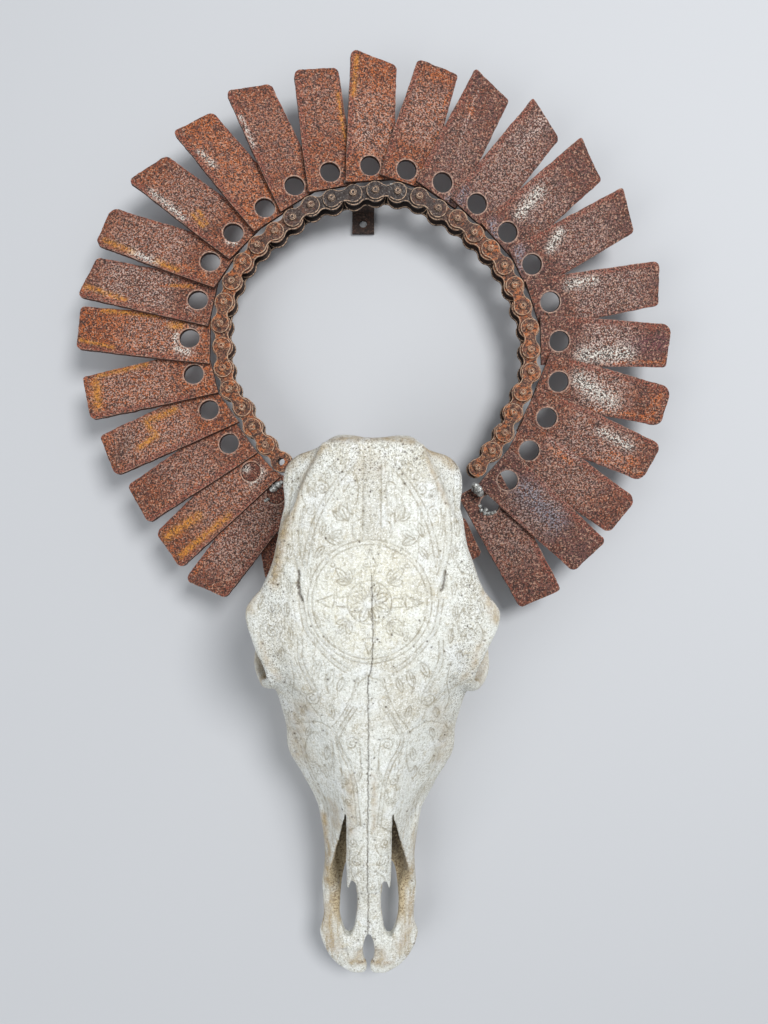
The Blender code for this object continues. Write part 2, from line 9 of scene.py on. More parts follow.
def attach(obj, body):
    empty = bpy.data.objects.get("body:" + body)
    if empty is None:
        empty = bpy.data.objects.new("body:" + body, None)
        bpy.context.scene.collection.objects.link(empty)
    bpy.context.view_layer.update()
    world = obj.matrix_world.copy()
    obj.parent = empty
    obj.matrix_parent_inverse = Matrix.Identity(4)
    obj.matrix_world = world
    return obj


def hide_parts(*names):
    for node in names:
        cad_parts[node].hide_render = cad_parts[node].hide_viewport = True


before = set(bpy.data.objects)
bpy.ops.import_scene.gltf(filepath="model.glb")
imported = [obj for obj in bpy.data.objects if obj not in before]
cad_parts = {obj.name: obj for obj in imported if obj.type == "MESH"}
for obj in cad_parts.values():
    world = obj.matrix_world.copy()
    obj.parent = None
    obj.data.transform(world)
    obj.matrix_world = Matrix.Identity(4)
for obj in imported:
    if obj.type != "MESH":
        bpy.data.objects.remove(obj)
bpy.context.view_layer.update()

# Camera
# The piece lies on its back and is seen from straight above, from arm's length, as by a phone held over it.
# The wide lens looks a little into the ring, so that the inner side of the chain shows.
CAMERA_PLACE = (0.008, 0.0036, 0.680)
CAMERA_LENS = 26.0             # mm
CAMERA_FRAME = 36.0            # the longer side of its frame, mm
camera_data = bpy.data.cameras.new("camera")
camera_data.lens = CAMERA_LENS
camera_data.sensor_width = CAMERA_FRAME
camera_data.clip_start = 0.01
camera_data.clip_end = 50.0
camera = bpy.data.objects.new("camera", camera_data)
camera.location = CAMERA_PLACE
bpy.context.scene.collection.objects.link(camera)
bpy.context.scene.camera = camera

# Skull
# The real piece is the dry, bleached skull of a polled cow without its lower jaw: one natural form of thin,
# porous bone, seamed by sutures. It was engraved by hand with a small burr. It rests on the halo's two rear
# blades and closes the gap of the ring.
MM = 0.001
SKULL_X = -0.3
SKULL_Y = 40.0                 # the skull is turned about this place on its midline
SKULL_YAW = math.radians(-0.7)
BONE_CELL = 1.25               # grid on which the bone is modelled, mm
BONE_TRIANGLES = 196000
SNOUT_END = -400.2             # the tip and the teeth stay inside the solids' box
TOOTH_END = 0.15
LINE_CARE = 0.08               # how far the thinning heeds the engraved points
BONE_LOW = (0.0, -403.0, -2.0)             # box of the right half
BONE_HIGH = (99.0, 65.0, 152.0)
HEAD_REAR = 61.5
HEAD_FRONT = -246.5
BROW_SHIFT = 2.6               # how far the right brow stands out beyond the left

# Half cross-sections of head and face: y, then x and z from the top midline round to the bottom midline
HEAD_SECTIONS = [
    (61, (0, 136), (14, 135), (25, 132), (30, 126), (30, 118), (26, 110), (18, 104), (9, 101), (0, 100)),
    (55, (0, 145), (17, 144), (29, 140.5), (36, 131), (37, 116), (34, 99), (29, 80), (18, 66), (0, 62)),
    (51, (0, 146.5), (21, 145.5), (35, 140.5), (42, 130), (43, 114), (40, 95), (34, 75), (22, 57), (0, 52)),
    (46, (0, 147.5), (27, 146), (47, 139.5), (56, 127), (57, 109), (52, 88), (43, 64), (28, 46), (0, 40)),
    (38, (0, 148.5), (29, 146.5), (53, 138), (64.5, 124), (64.5, 105), (54, 83), (45, 61), (27, 43), (0, 38)),
    (28, (0, 149), (30, 147), (55, 138), (68, 122), (62, 102), (52, 80), (45, 60), (26, 42), (0, 38)),
    (5, (0, 149), (32, 147), (58, 138), (68.5, 124), (56, 110), (47, 86), (41, 62), (22, 43), (0, 38)),
    (-25, (0, 149), (34, 146), (61.5, 137), (72, 126), (56, 113), (44, 90), (37, 64), (20, 44), (0, 38)),
    (-50, (0, 148), (38, 144), (67, 134), (80, 123), (60, 113), (42, 93), (34, 68), (18, 46), (0, 39)),
    (-73, (0, 146), (44, 141), (79, 129), (96, 118), (66, 111), (42, 96), (32, 72), (18, 50), (0, 41)),
    (-100, (0, 141), (42, 136), (72, 127), (87, 117), (70, 106), (48, 92), (38, 66), (24, 42), (0, 38)),
    (-125, (0, 135), (36, 130), (62, 118), (76, 103), (84, 78), (66, 58), (55, 24), (36, 22), (0, 34)),
    (-143, (0, 131), (30, 126), (54, 110), (73, 91), (76, 75), (66, 54), (57, 23), (36, 21), (0, 33)),
    (-170, (0, 124), (24, 119), (45, 103), (64, 84), (70, 71), (62, 52), (56, 22), (34, 20), (0, 32)),
    (-195, (0, 117), (20, 112), (38, 96), (57.5, 78), (68, 66), (61, 50), (53, 22), (32, 20), (0, 31)),
    (-222, (0, 110), (18, 106), (31, 89), (45, 72), (55, 57), (54, 45), (49, 23), (28, 22), (0, 30)),
    (-246, (0, 103), (17, 98), (25, 84), (34, 68), (43.5, 53), (44.5, 42), (40, 27), (24, 25), (0, 28)),
]
# Nasal bones in front of the face: y, half-width, height of the ridge
NASAL_BONES = [(-205, 17, 114), (-225, 17.5, 109), (-250, 18.5, 102.5), (-277, 18.6, 96), (-303, 18.3, 88)]
NASAL_THICK = 4.5
NASAL_ARCH = 12                # how far their outer edges lie below the ridge
NASAL_PLAY = 0.3               # gap between them and the face
NASAL_NOTCH = (12.6, -303, 3.1, 10.3)      # on each side of the front end: x, y, half-width, half-length
# Air passage of the nose: y, half-width, bottom, top
NOSE_PASSAGE = [(-175, 8, 60, 92), (-200, 22, 42, 98), (-225, 28, 36, 96), (-250, 30, 34, 90),
                (-345, 30, 34, 84)]
# Slit beside the nasal bones: y, x of its outer side
NOSE_SLIT = [(-222, 17), (-232, 18.4), (-240, 19.8), (-250, 21.6), (-262, 24), (-276, 26.6), (-290, 28.4),
             (-305, 29)]
# Wall of the snout: y, height of its upper edge
SNOUT_WALL = [(-222, 92), (-236, 91), (-250, 86), (-265, 75), (-280, 64), (-300, 53), (-318, 44)]
# Foot of that wall: y, x of its outer side
WALL_FOOT = [(-222, 50), (-243, 44.6), (-254, 42.2), (-270, 39.4), (-285, 37.8), (-300, 38), (-318, 39)]
WALL_BOTTOM = 34
WALL_FOOT_Z = 50.0             # the wall stands up to here, and leans inwards above
WALL_LEAN = 0.52
SLIT_BOTTOM = 46
WALL_THICK = 4.6
# Premaxilla: y, middle x and z, half-width, half-height
PREMAXILLA = [
    (-240, 40, 50, 4.5, 13), (-254, 37.6, 51, 4.7, 12), (-270, 34.9, 49.5, 4.5, 10.5),
    (-285, 33.2, 47, 4.5, 9.5), (-300, 33.4, 43, 4.9, 8.3), (-312, 33.4, 40, 7, 7), (-320, 33, 38, 8, 6.5),
    (-333, 32.4, 37, 7.8, 6), (-345, 32, 36, 7.4, 5.6), (-353, 31.3, 35.5, 9.4, 5.5),
    (-361, 28.3, 34.5, 14.8, 5.5), (-369, 24.6, 34, 17, 5.5), (-377, 21.4, 33.5, 17.2, 5),
    (-385, 18.8, 32.5, 15.4, 5), (-392, 14.9, 31, 14, 4.5), (-397, 11.6, 30, 10.7, 4),
    (-401, 9.5, 29, 6.5, 3),
]
MIDLINE_BARS = [(-240, 0, 36, 9, 9), (-296, 0, 39, 11, 7), (-340, 0, 37, 11, 6), (-352, 0, 36, 13.5, 5.8),
                (-376, 0, 35, 13.5, 5.5)]
PALATE = [(-230, 0, 29, 32, 4), (-330, 0, 31, 33, 3.5)]
FISSURE = ((18, -333, 36), (6.8, 32, 24))
TIP_GAP = ((0, -376, 34), (4.5, 14.5, 20))
TIP_PARTING = ((0, -404, 34), (1.2, 15, 20))
POLL_DIP = ((0, 74.5, 134), (23, 15.5, 36))
FORAMEN = ((0, 52, 58), (13, 26, 12))      # hole of the neck
CONDYLE = ((21, 44, 45), (14, 13, 16))     # knob of the neck's joint
JUGULAR = [(39.6, 24, 60), (44, 20, 40), (41.8, 19, 24)]
FOSSA = ((66, -38, 92), (18, 34, 19))      # hollow beside the braincase
ZYGOMATIC = [(50, 14, 66), (62, 2, 68), (71, -22, 71), (79, -48, 74), (86, -76, 70), (84, -104, 60),
             (76, -130, 66)]
ORBIT = (84, -103, 88)
ORBIT_R = 30.0
ORBIT_CAVITY = (44, 26, 26)
ORBIT_TURN = 0.175             # radians, towards the front
# x of its rim every 45 degrees, from the rear edge over the brow, and the rim's thickness there
ORBIT_RIM = [(89.5, 6.3), (88, 6), (81, 5), (75.5, 4.8), (83, 5.6), (91.5, 6), (91, 6.3), (89, 6.3),
             (89.5, 6.3)]
TOOTH_ROW = [(49, -132), (48, -153), (47, -174), (45, -195), (42, -214), (38, -231)]
TOOTH_SIZE = (19, 18.5, 30)
TOOTH_FLUTE = (0.7, 8.5)       # depth and spacing of the grooves down its sides
# Edge between the brow and the side of the braincase
TEMPORAL_LINE = [(36, 51, 141), (48, 32, 140), (57, 8, 137), (61.5, -10, 135), (67, -34, 131.5),
                 (78, -58, 126)]
TEMPORAL_HOLLOW = [(52, 47, 144), (63, 28, 139.5), (71, 6, 136)]


def cubic_track(stations, y):
    """Values between stations (place, value, ...), on a cubic through all of them."""
    table = np.array(sorted(stations), np.float32)
    keys = table[:, 0]
    rows = table[:, 1:]
    slopes = np.empty_like(rows)
    slopes[1:-1] = (rows[2:] - rows[:-2]) / (keys[2:] - keys[:-2])[:, None]
    slopes[0] = (rows[1] - rows[0]) / (keys[1] - keys[0])
    slopes[-1] = (rows[-1] - rows[-2]) / (keys[-1] - keys[-2])
    i = np.clip(np.searchsorted(keys, y) - 1, 0, len(keys) - 2)
    span = (keys[i + 1] - keys[i])[..., None]
    t = np.clip((y - keys[i])[..., None] / span, 0, 1)
    return (rows[i] * (2 * t**3 - 3 * t**2 + 1) + slopes[i] * (t**3 - 2 * t**2 + t) * span
            + rows[i + 1] * (3 * t**2 - 2 * t**3) + slopes[i + 1] * (t**3 - t**2) * span)


def columns(stations, y):
    """The values of cubic_track one by one."""
    return np.moveaxis(cubic_track(stations, y), -1, 0)


def merge(a, b, radius):
    """Union of two fields, with a fillet of about that radius."""
    share = np.clip(0.5 + 0.5 * (b - a) / radius, 0, 1)
    return b + (a - b) * share - radius * share * (1 - share)


def cut(a, b, radius):
    """What is left of a when b is taken away, with its edge rounded."""
    return -merge(-a, b, radius)


def head_field(x, y, z):
    """Distance to the skin through the cross-sections, below zero inside."""
    stations = [(place, *(value for point in half for value in point)) for place, *half in HEAD_SECTIONS]
    half = cubic_track(stations, y).reshape(*y.shape, 9, 2)
    mirror = np.array((-1, 1), np.float32)
    padded = np.concatenate([half[..., 1:2, :] * mirror, half, half[..., 7:8, :] * mirror], axis=-2)
    fine = []
    for i in range(1, 9):
        before, start, end, after = (padded[..., i + k, :] for k in (-1, 0, 1, 2))
        for t in (0.0, 0.2, 0.4, 0.6, 0.8):
            fine.append(start * (2 * t**3 - 3 * t**2 + 1) + (end - before) / 2 * (t**3 - 2 * t**2 + t)
                        + end * (3 * t**2 - 2 * t**3) + (after - start) / 2 * (t**3 - t**2))
    fine.append(half[..., 8, :])
    nearest = np.float32(1e9)
    inside = False
    for a, b in zip(fine, fine[1:]):
        ax, az = a[..., 0], a[..., 1]
        dx, dz = b[..., 0] - ax, b[..., 1] - az
        along = np.clip(((x - ax) * dx + (z - az) * dz) / (dx * dx + dz * dz + 1e-6), 0, 1)
        nearest = np.minimum(nearest, (x - ax - along * dx)**2 + (z - az - along * dz)**2)
        rise = np.where(np.abs(dz) < 1e-4, 1e-4, dz)
        inside = inside ^ (((az > z) != (az + dz > z)) & (x < ax + (z - az) * dx / rise))
    distance = np.sqrt(nearest) * np.where(inside, -1, 1)
    return cut(distance, np.minimum(HEAD_REAR - y, y - HEAD_FRONT), 5)


def oval_field(x, y, z, stations, power=2.4):
    """A bar along y with oval sections: stations give y, middle x, middle z, half-width, half-height."""
    middle_x, middle_z, half_x, half_z = columns(stations, y)
    size = (np.abs((x - middle_x) / half_x)**power + np.abs((z - middle_z) / half_z)**power)**(1 / power)
    low, high = min(s[0] for s in stations), max(s[0] for s in stations)
    return np.maximum((size - 1) * np.minimum(half_x, half_z), np.maximum(low - y, y - high))


def ball_field(x, y, z, middle, size):
    px, py, pz = x - middle[0], y - middle[1], z - middle[2]
    near = np.sqrt((px / size[0])**2 + (py / size[1])**2 + (pz / size[2])**2) + 1e-6
    steep = np.sqrt((px / size[0]**2)**2 + (py / size[1]**2)**2 + (pz / size[2]**2)**2) + 1e-6
    return near * (near - 1) / steep


def rod_field(x, y, z, points, radius, flat=1.0):
    """A round or flattened rod along a smooth line through points; radius is one number or one for each."""
    radii = radius if hasattr(radius, "__len__") else [radius] * len(points)
    stations = [(i, *point, r) for i, (point, r) in enumerate(zip(points, radii))]
    fine = cubic_track(stations, np.arange(0, len(points) - 1 + 1e-6, 0.34))
    best = np.float32(1e9)
    for a, b in zip(fine, fine[1:]):
        d = b[:3] - a[:3]
        along = np.clip(((x - a[0]) * d[0] + (y - a[1]) * d[1] + (z - a[2]) * d[2]) / float(d @ d), 0, 1)
        gap = np.sqrt(((x - a[0] - along * d[0]) / flat)**2 + (y - a[1] - along * d[1])**2
                      + (z - a[2] - along * d[2])**2) - (a[3] + along * (b[3] - a[3]))
        best = np.minimum(best, gap)
    return best


def box_field(x, y, z, middle, size, round_off):
    px, py, pz = (np.abs(v - m) - s / 2 + round_off for v, m, s in zip((x, y, z), middle, size))
    outside = np.sqrt(np.maximum(px, 0)**2 + np.maximum(py, 0)**2 + np.maximum(pz, 0)**2)
    return outside + np.minimum(np.maximum(np.maximum(px, py), pz), 0) - round_off


def nasal_field(x, y, z):
    """The two arched nasal bones, whose front ends are notched."""
    half, top = columns(NASAL_BONES, y)
    rear, front = NASAL_BONES[0][0], NASAL_BONES[-1][0]
    drop = NASAL_ARCH * (1 - np.sqrt(np.clip(1 - (x / half)**2 * 0.96, 0, 1)))
    shell = np.maximum(np.abs(z - (top - drop - NASAL_THICK / 2)) * 0.8 - NASAL_THICK / 2 * 0.8, x - half)
    tip = front + 1.5 * np.clip((x - 11) / 4, 0, 1)
    shell = np.maximum(shell, np.maximum(tip - y, y - rear))
    place_x, place_y, half_x, half_y = NASAL_NOTCH
    return cut(shell, ball_field(x, y, z, (place_x, place_y, 92), (half_x, half_y, 40)), 0.6)


def snout_wall_field(x, y, z):
    """The thin leaning wall between the tooth row's bone and the slit of the nose."""
    top = columns(SNOUT_WALL, y)[0]
    middle = columns(WALL_FOOT, y)[0] - WALL_THICK / 2 - WALL_LEAN * np.maximum(z - WALL_FOOT_Z, 0)
    plate = np.abs(x - middle) * 0.9 - WALL_THICK / 2
    rear, front = SNOUT_WALL[0][0], SNOUT_WALL[-1][0]
    ends = np.maximum(np.maximum(z - top, WALL_BOTTOM - z), np.maximum(y - rear, front - y))
    return -merge(-plate, -ends, 3)


def opening_field(x, y, z):
    """The passage of the nose, the hole of the neck, the eye socket and the fossa beside the braincase."""
    passage = [(s, 0, (low + high) / 2, half, (high - low) / 2) for s, half, low, high in NOSE_PASSAGE]
    found = oval_field(x, y, z, passage, 2.0)
    found = np.minimum(found, ball_field(x, y, z, *FORAMEN))
    cos, sin = math.cos(ORBIT_TURN), math.sin(ORBIT_TURN)
    px, py = x - ORBIT[0] - 2, y - ORBIT[1]
    turned = (px * cos + py * sin, py * cos - px * sin, z - ORBIT[2])
    found = np.minimum(found, ball_field(*turned, (0, 0, 0), ORBIT_CAVITY))
    return np.minimum(found, ball_field(x, y, z, *FOSSA))


def slit_field(x, y, z):
    """The gap between the nasal bones and the face, open from the front."""
    outer = columns(NOSE_SLIT, y)[0]
    inner = columns(NASAL_BONES, y)[0] + NASAL_PLAY
    return np.maximum(np.maximum(inner - x, x - outer), np.maximum(y - NOSE_SLIT[0][0], SLIT_BOTTOM - z))


def skull_field(x, y, z):
    """Field of the right half of the whole skull."""
    body = head_field(x, y, z)
    body = cut(body, ball_field(x, y, z, *POLL_DIP), 4)
    body = merge(body, rod_field(x, y, z, TEMPORAL_LINE, [3, 4, 4, 4, 4, 2.5]), 8)
    body = cut(body, rod_field(x, y, z, TEMPORAL_HOLLOW, 9.5), 12)
    body = merge(body, rod_field(x, y, z, ZYGOMATIC, [5, 7, 7, 6.5, 7, 7.5, 7], 0.8), 6)
    rim = []
    for i, (rim_x, thick) in enumerate(ORBIT_RIM):
        turn = math.pi / 4 * i
        rim.append((rim_x, ORBIT[1] + ORBIT_R * math.cos(turn), ORBIT[2] + ORBIT_R * math.sin(turn)))
    body = merge(body, rod_field(x, y, z, rim, [thick for rim_x, thick in ORBIT_RIM]), 7)
    body = merge(body, ball_field(x, y, z, *CONDYLE), 4)
    body = merge(body, rod_field(x, y, z, JUGULAR, [7.5, 6.5, 4.5]), 5)
    body = merge(body, oval_field(x, y, z, PALATE), 3)
    for tooth_x, tooth_y in TOOTH_ROW:
        flute = TOOTH_FLUTE[0] * np.cos((y - tooth_y) * 2 * math.pi / TOOTH_FLUTE[1])
        tooth = box_field(x - flute * np.sign(x - tooth_x), y, z, (tooth_x, tooth_y, TOOTH_SIZE[2] / 2 + 0.2),
                          TOOTH_SIZE, 2.5)
        body = merge(body, tooth, 1)
    body = cut(body, opening_field(x, y, z), 2)
    body = merge(body, snout_wall_field(x, y, z), 3)
    body = merge(body, oval_field(x, y, z, MIDLINE_BARS), 2)
    body = merge(body, oval_field(x, y, z, PREMAXILLA), 3)
    for middle, size in (FISSURE, TIP_GAP, TIP_PARTING):
        body = cut(body, ball_field(x, y, z, middle, size), 1.2)
    body = cut(body, slit_field(x, y, z), 0.8)
    return merge(body, nasal_field(x, y, z), 0.8)


def surface_net(field, low, cell):
    """Points and faces of the zero level: a point in each crossed cell, a face round each crossed edge."""
    inside = field < 0
    corners = [inside[i:i - 1 or None, j:j - 1 or None, k:k - 1 or None]
               for i in (0, 1) for j in (0, 1) for k in (0, 1)]
    count = sum(c.astype(np.int8) for c in corners)
    mixed = (count > 0) & (count < 8)
    number = np.full(count.shape, -1, np.int64)
    number[mixed] = np.arange(mixed.sum())
    total = np.zeros((mixed.sum(), 3))
    share = np.zeros(mixed.sum())
    faces = []
    for axis in range(3):
        u, v = [k for k in range(3) if k != axis]
        lower = [slice(1, -1)] * 3
        upper = [slice(1, -1)] * 3
        lower[axis], upper[axis] = slice(0, -1), slice(1, None)
        a, b = field[tuple(lower)], field[tuple(upper)]
        spots = np.argwhere((a < 0) != (b < 0))
        av, bv = a[tuple(spots.T)], b[tuple(spots.T)]
        spots[:, u] += 1
        spots[:, v] += 1
        point = spots.astype(float)
        point[:, axis] += av / (av - bv)
        ring = []
        for du, dv in ((-1, -1), (0, -1), (0, 0), (-1, 0)):
            cells = spots.copy()
            cells[:, u] += du
            cells[:, v] += dv
            owner = number[tuple(cells.T)]
            ring.append(owner)
            share += np.bincount(owner, minlength=len(share))
            for k in range(3):
                total[:, k] += np.bincount(owner, weights=point[:, k], minlength=len(share))
        face = np.stack(ring, axis=1)
        turned = (av < 0) != (axis == 1)
        faces.append(np.where(turned[:, None], face, face[:, ::-1]))
    points = total / share[:, None] * cell + np.array(low)
    return points, np.concatenate(faces)


def new_piece(name, mesh):
    piece = bpy.data.objects.new(name, mesh)
    bpy.context.scene.collection.objects.link(piece)
    return piece


def settled_mesh(item, name):
    """The item's mesh as its modifiers leave it; the item itself is removed."""
    bpy.context.view_layer.update()
    seen = item.evaluated_get(bpy.context.evaluated_depsgraph_get())
    mesh = bpy.data.meshes.new_from_object(seen)
    mesh.name = name
    bpy.data.objects.remove(item, do_unlink=True)
    return mesh


def mesh_points(mesh, kind="co"):
    """Positions or normals of a mesh's points, as rows of three."""
    source = mesh.vertices if kind == "co" else mesh.vertex_normals
    values = np.zeros(len(mesh.vertices) * 3, np.float32)
    source.foreach_get("co" if kind == "co" else "vector", values)
    return values.reshape(-1, 3)


def store(mesh, name, values):
    """Keeps one number for each point of the mesh, for its material."""
    layer = mesh.attributes.new(name, "FLOAT", "POINT")
    layer.data.foreach_set("value", np.asarray(values, np.float32))


grid = [np.arange(low, high, BONE_CELL, dtype=np.float32) for low, high in zip(BONE_LOW, BONE_HIGH)]
half_field = skull_field(grid[0][:, None, None], grid[1][None, :, None], grid[2][None, None, :])
whole_field = np.concatenate([half_field[:0:-1], half_field])
points, faces = surface_net(whole_field, (-grid[0][-1], grid[1][0], grid[2][0]), BONE_CELL)
top_heights = np.where(whole_field < 0, grid[2], -1e3).max(axis=2)
mesh = bpy.data.meshes.new("bone_skin")
mesh.from_pydata(points.tolist(), [], faces.tolist())
skin = new_piece("bone_skin", mesh)
soften = skin.modifiers.new("soften", "SMOOTH")
soften.iterations = 3
mesh = settled_mesh(skin, "bone_skin")
places = mesh_points(mesh)
places[:, 0] += BROW_SHIFT * np.exp(-((places[:, 1] + 62) / 30)**2) * np.clip((places[:, 0] - 40) / 40, 0, 1)
mesh.vertices.foreach_set("co", places.ravel())

# Engraving and seams, drawn in the front view: x from the midline, y
CARVE_CELL = 0.3               # cell of the maps on which they are drawn
CARVE_REACH = 2.4              # distances are known up to here
MAP_LOW = (-99, -403)
MAP_HIGH = (99, 65)
PORES = 900
MEDALLION = (-1.0, -62.0)
MEDALLION_RINGS = (45.5, 42.0, 16.0, 4.5)
# An arrow point of the medallion and the two lines of its shaft, from the medallion's middle
ARROW = [((27, 5), (33, 2.3), (39, 0)), ((27, -5), (33, -2.3), (39, 0)), ((27, 5), (26, 0), (27, -5)),
         ((17.5, 3.5), (24, 3.0)), ((17.5, -3.5), (24, -3.0))]
MIDLINE_BAND = (6.2, -17, 40)  # flat band above the medallion: half-width and ends
# Depth and half-width of each kind of line
GROOVES = {"carving": (0.42, 0.5), "seam": (0.35, 0.45), "crack": (1.1, 0.45), "brow": (2.0, 0.9)}
SHALLOWS = {"band": (0.18, 1.7), "channel": (0.5, 1.6)}


def stroke(*points):
    """A smooth line through points."""
    knots = cubic_track([(i, *p) for i, p in enumerate(points)],
                        np.linspace(0, len(points) - 1, 12 * len(points)))
    steps = np.concatenate([[0], np.cumsum(np.hypot(*np.diff(knots, axis=0).T))])
    places = np.arange(0, steps[-1], CARVE_CELL)
    return np.stack([np.interp(places, steps, knots[:, k]) for k in (0, 1)], axis=1)


def spiral(x, y, radius, turns, start, hand):
    """A scroll that winds in from its rim, from the direction start; hand is 1 anticlockwise."""
    t = np.linspace(0, 1, int(60 * turns * radius / 5))
    angle = np.radians(start) + hand * 2 * math.pi * turns * t
    reach = radius * (1 - 0.86 * t**0.8)
    return np.stack([x + reach * np.cos(angle), y + reach * np.sin(angle)], axis=1)


def ring(x, y, radius):
    angle = np.linspace(0, 2 * math.pi, int(radius * 24))
    return np.stack([x + radius * np.cos(angle), y + radius * np.sin(angle)], axis=1)


def leaf(x, y, length, width, turn):
    """Two arcs that meet in two tips, with a vein; turn is the leaf's direction in degrees."""
    t = np.linspace(0, 1, int(length * 4))
    side = width / 2 * np.sin(math.pi * t) ** 0.8
    turn = math.radians(turn)
    rows = [np.stack([t * length, sign * side], axis=1) for sign in (1, -1)]
    rows.append(np.stack([t * length * 0.7, 0 * t], axis=1))
    flat = np.concatenate(rows)
    return np.stack([x + flat[:, 0] * math.cos(turn) - flat[:, 1] * math.sin(turn),
                     y + flat[:, 0] * math.sin(turn) + flat[:, 1] * math.cos(turn)], axis=1)


def beside(line, gap):
    """The line moved sideways, so that two make the edges of a band."""
    along = np.gradient(line, axis=0)
    side = np.stack([-along[:, 1], along[:, 0]], axis=1)
    return line + side / (np.hypot(*along.T)[:, None] + 1e-6) * gap


def worn(line, seed, wander):
    """The line with small random bends, as a suture or a crack has."""
    random = np.random.default_rng(seed)
    knots = random.normal(0, wander, (len(line) // 5 + 2, 2))
    place = np.arange(len(line)) / 5
    return line + np.stack([np.interp(place, np.arange(len(knots)), knots[:, k]) for k in (0, 1)], axis=1)


def mirrored(lines):
    return lines + [line * (-1, 1) for line in lines]


def round_medallion(degrees, *points):
    """Places given from the medallion's middle, turned about it."""
    cos, sin = math.cos(math.radians(degrees)), math.sin(math.radians(degrees))
    return [(MEDALLION[0] + u * cos - v * sin, MEDALLION[1] + u * sin + v * cos) for u, v in points]


def rosette():
    """A ring with a many-petalled middle, four arrow points and four sprigs between them."""
    lines = [ring(*MEDALLION, radius) for radius in MEDALLION_RINGS]
    for turn in np.arange(22.5, 360, 45):
        lines.append(leaf(*round_medallion(turn, (4.5, 0))[0], 11, 6.5, turn))
    for turn in range(0, 360, 90):
        lines += [stroke(*round_medallion(turn, *points)) for points in ARROW]
        foot, bead = round_medallion(turn + 45, (20, 0), (38, 0))
        for swing, length in ((-38, 10), (0, 15), (38, 10)):
            lines.append(leaf(*foot, length, 5, turn + 45 + swing))
        lines.append(ring(*bead, 1.5))
    return lines


# Middle lines of the flat bands that run through the scrolls, each with its half-width
BANDS = [
    (stroke((14.5, 38.5), (27.2, 22.5), (37.2, 5.5), (44.2, -12.5), (47.6, -28), (48.8, -36)), 1.9),
    (stroke((51.5, -60), (49.6, -72), (47.5, -82), (42.7, -89.5), (34.1, -100), (25.5, -108),
            (17.6, -113.5)), 1.7),
    (stroke((54.5, 4), (56, -12), (54.5, -28), (50.5, -42)), 2.4),
    (stroke((52, -91), (52.2, -106), (47, -121), (41.5, -132)), 1.8),
    (stroke((55, -185), (51.5, -202), (43.5, -220.5), (37.5, -235), (35.8, -250)), 1.7),
    (stroke((10.8, -142), (18.5, -154.5), (24.5, -167.5), (22.5, -178), (17, -188), (11.8, -205), (9.6, -224),
            (7.8, -242)), 1.5),
]
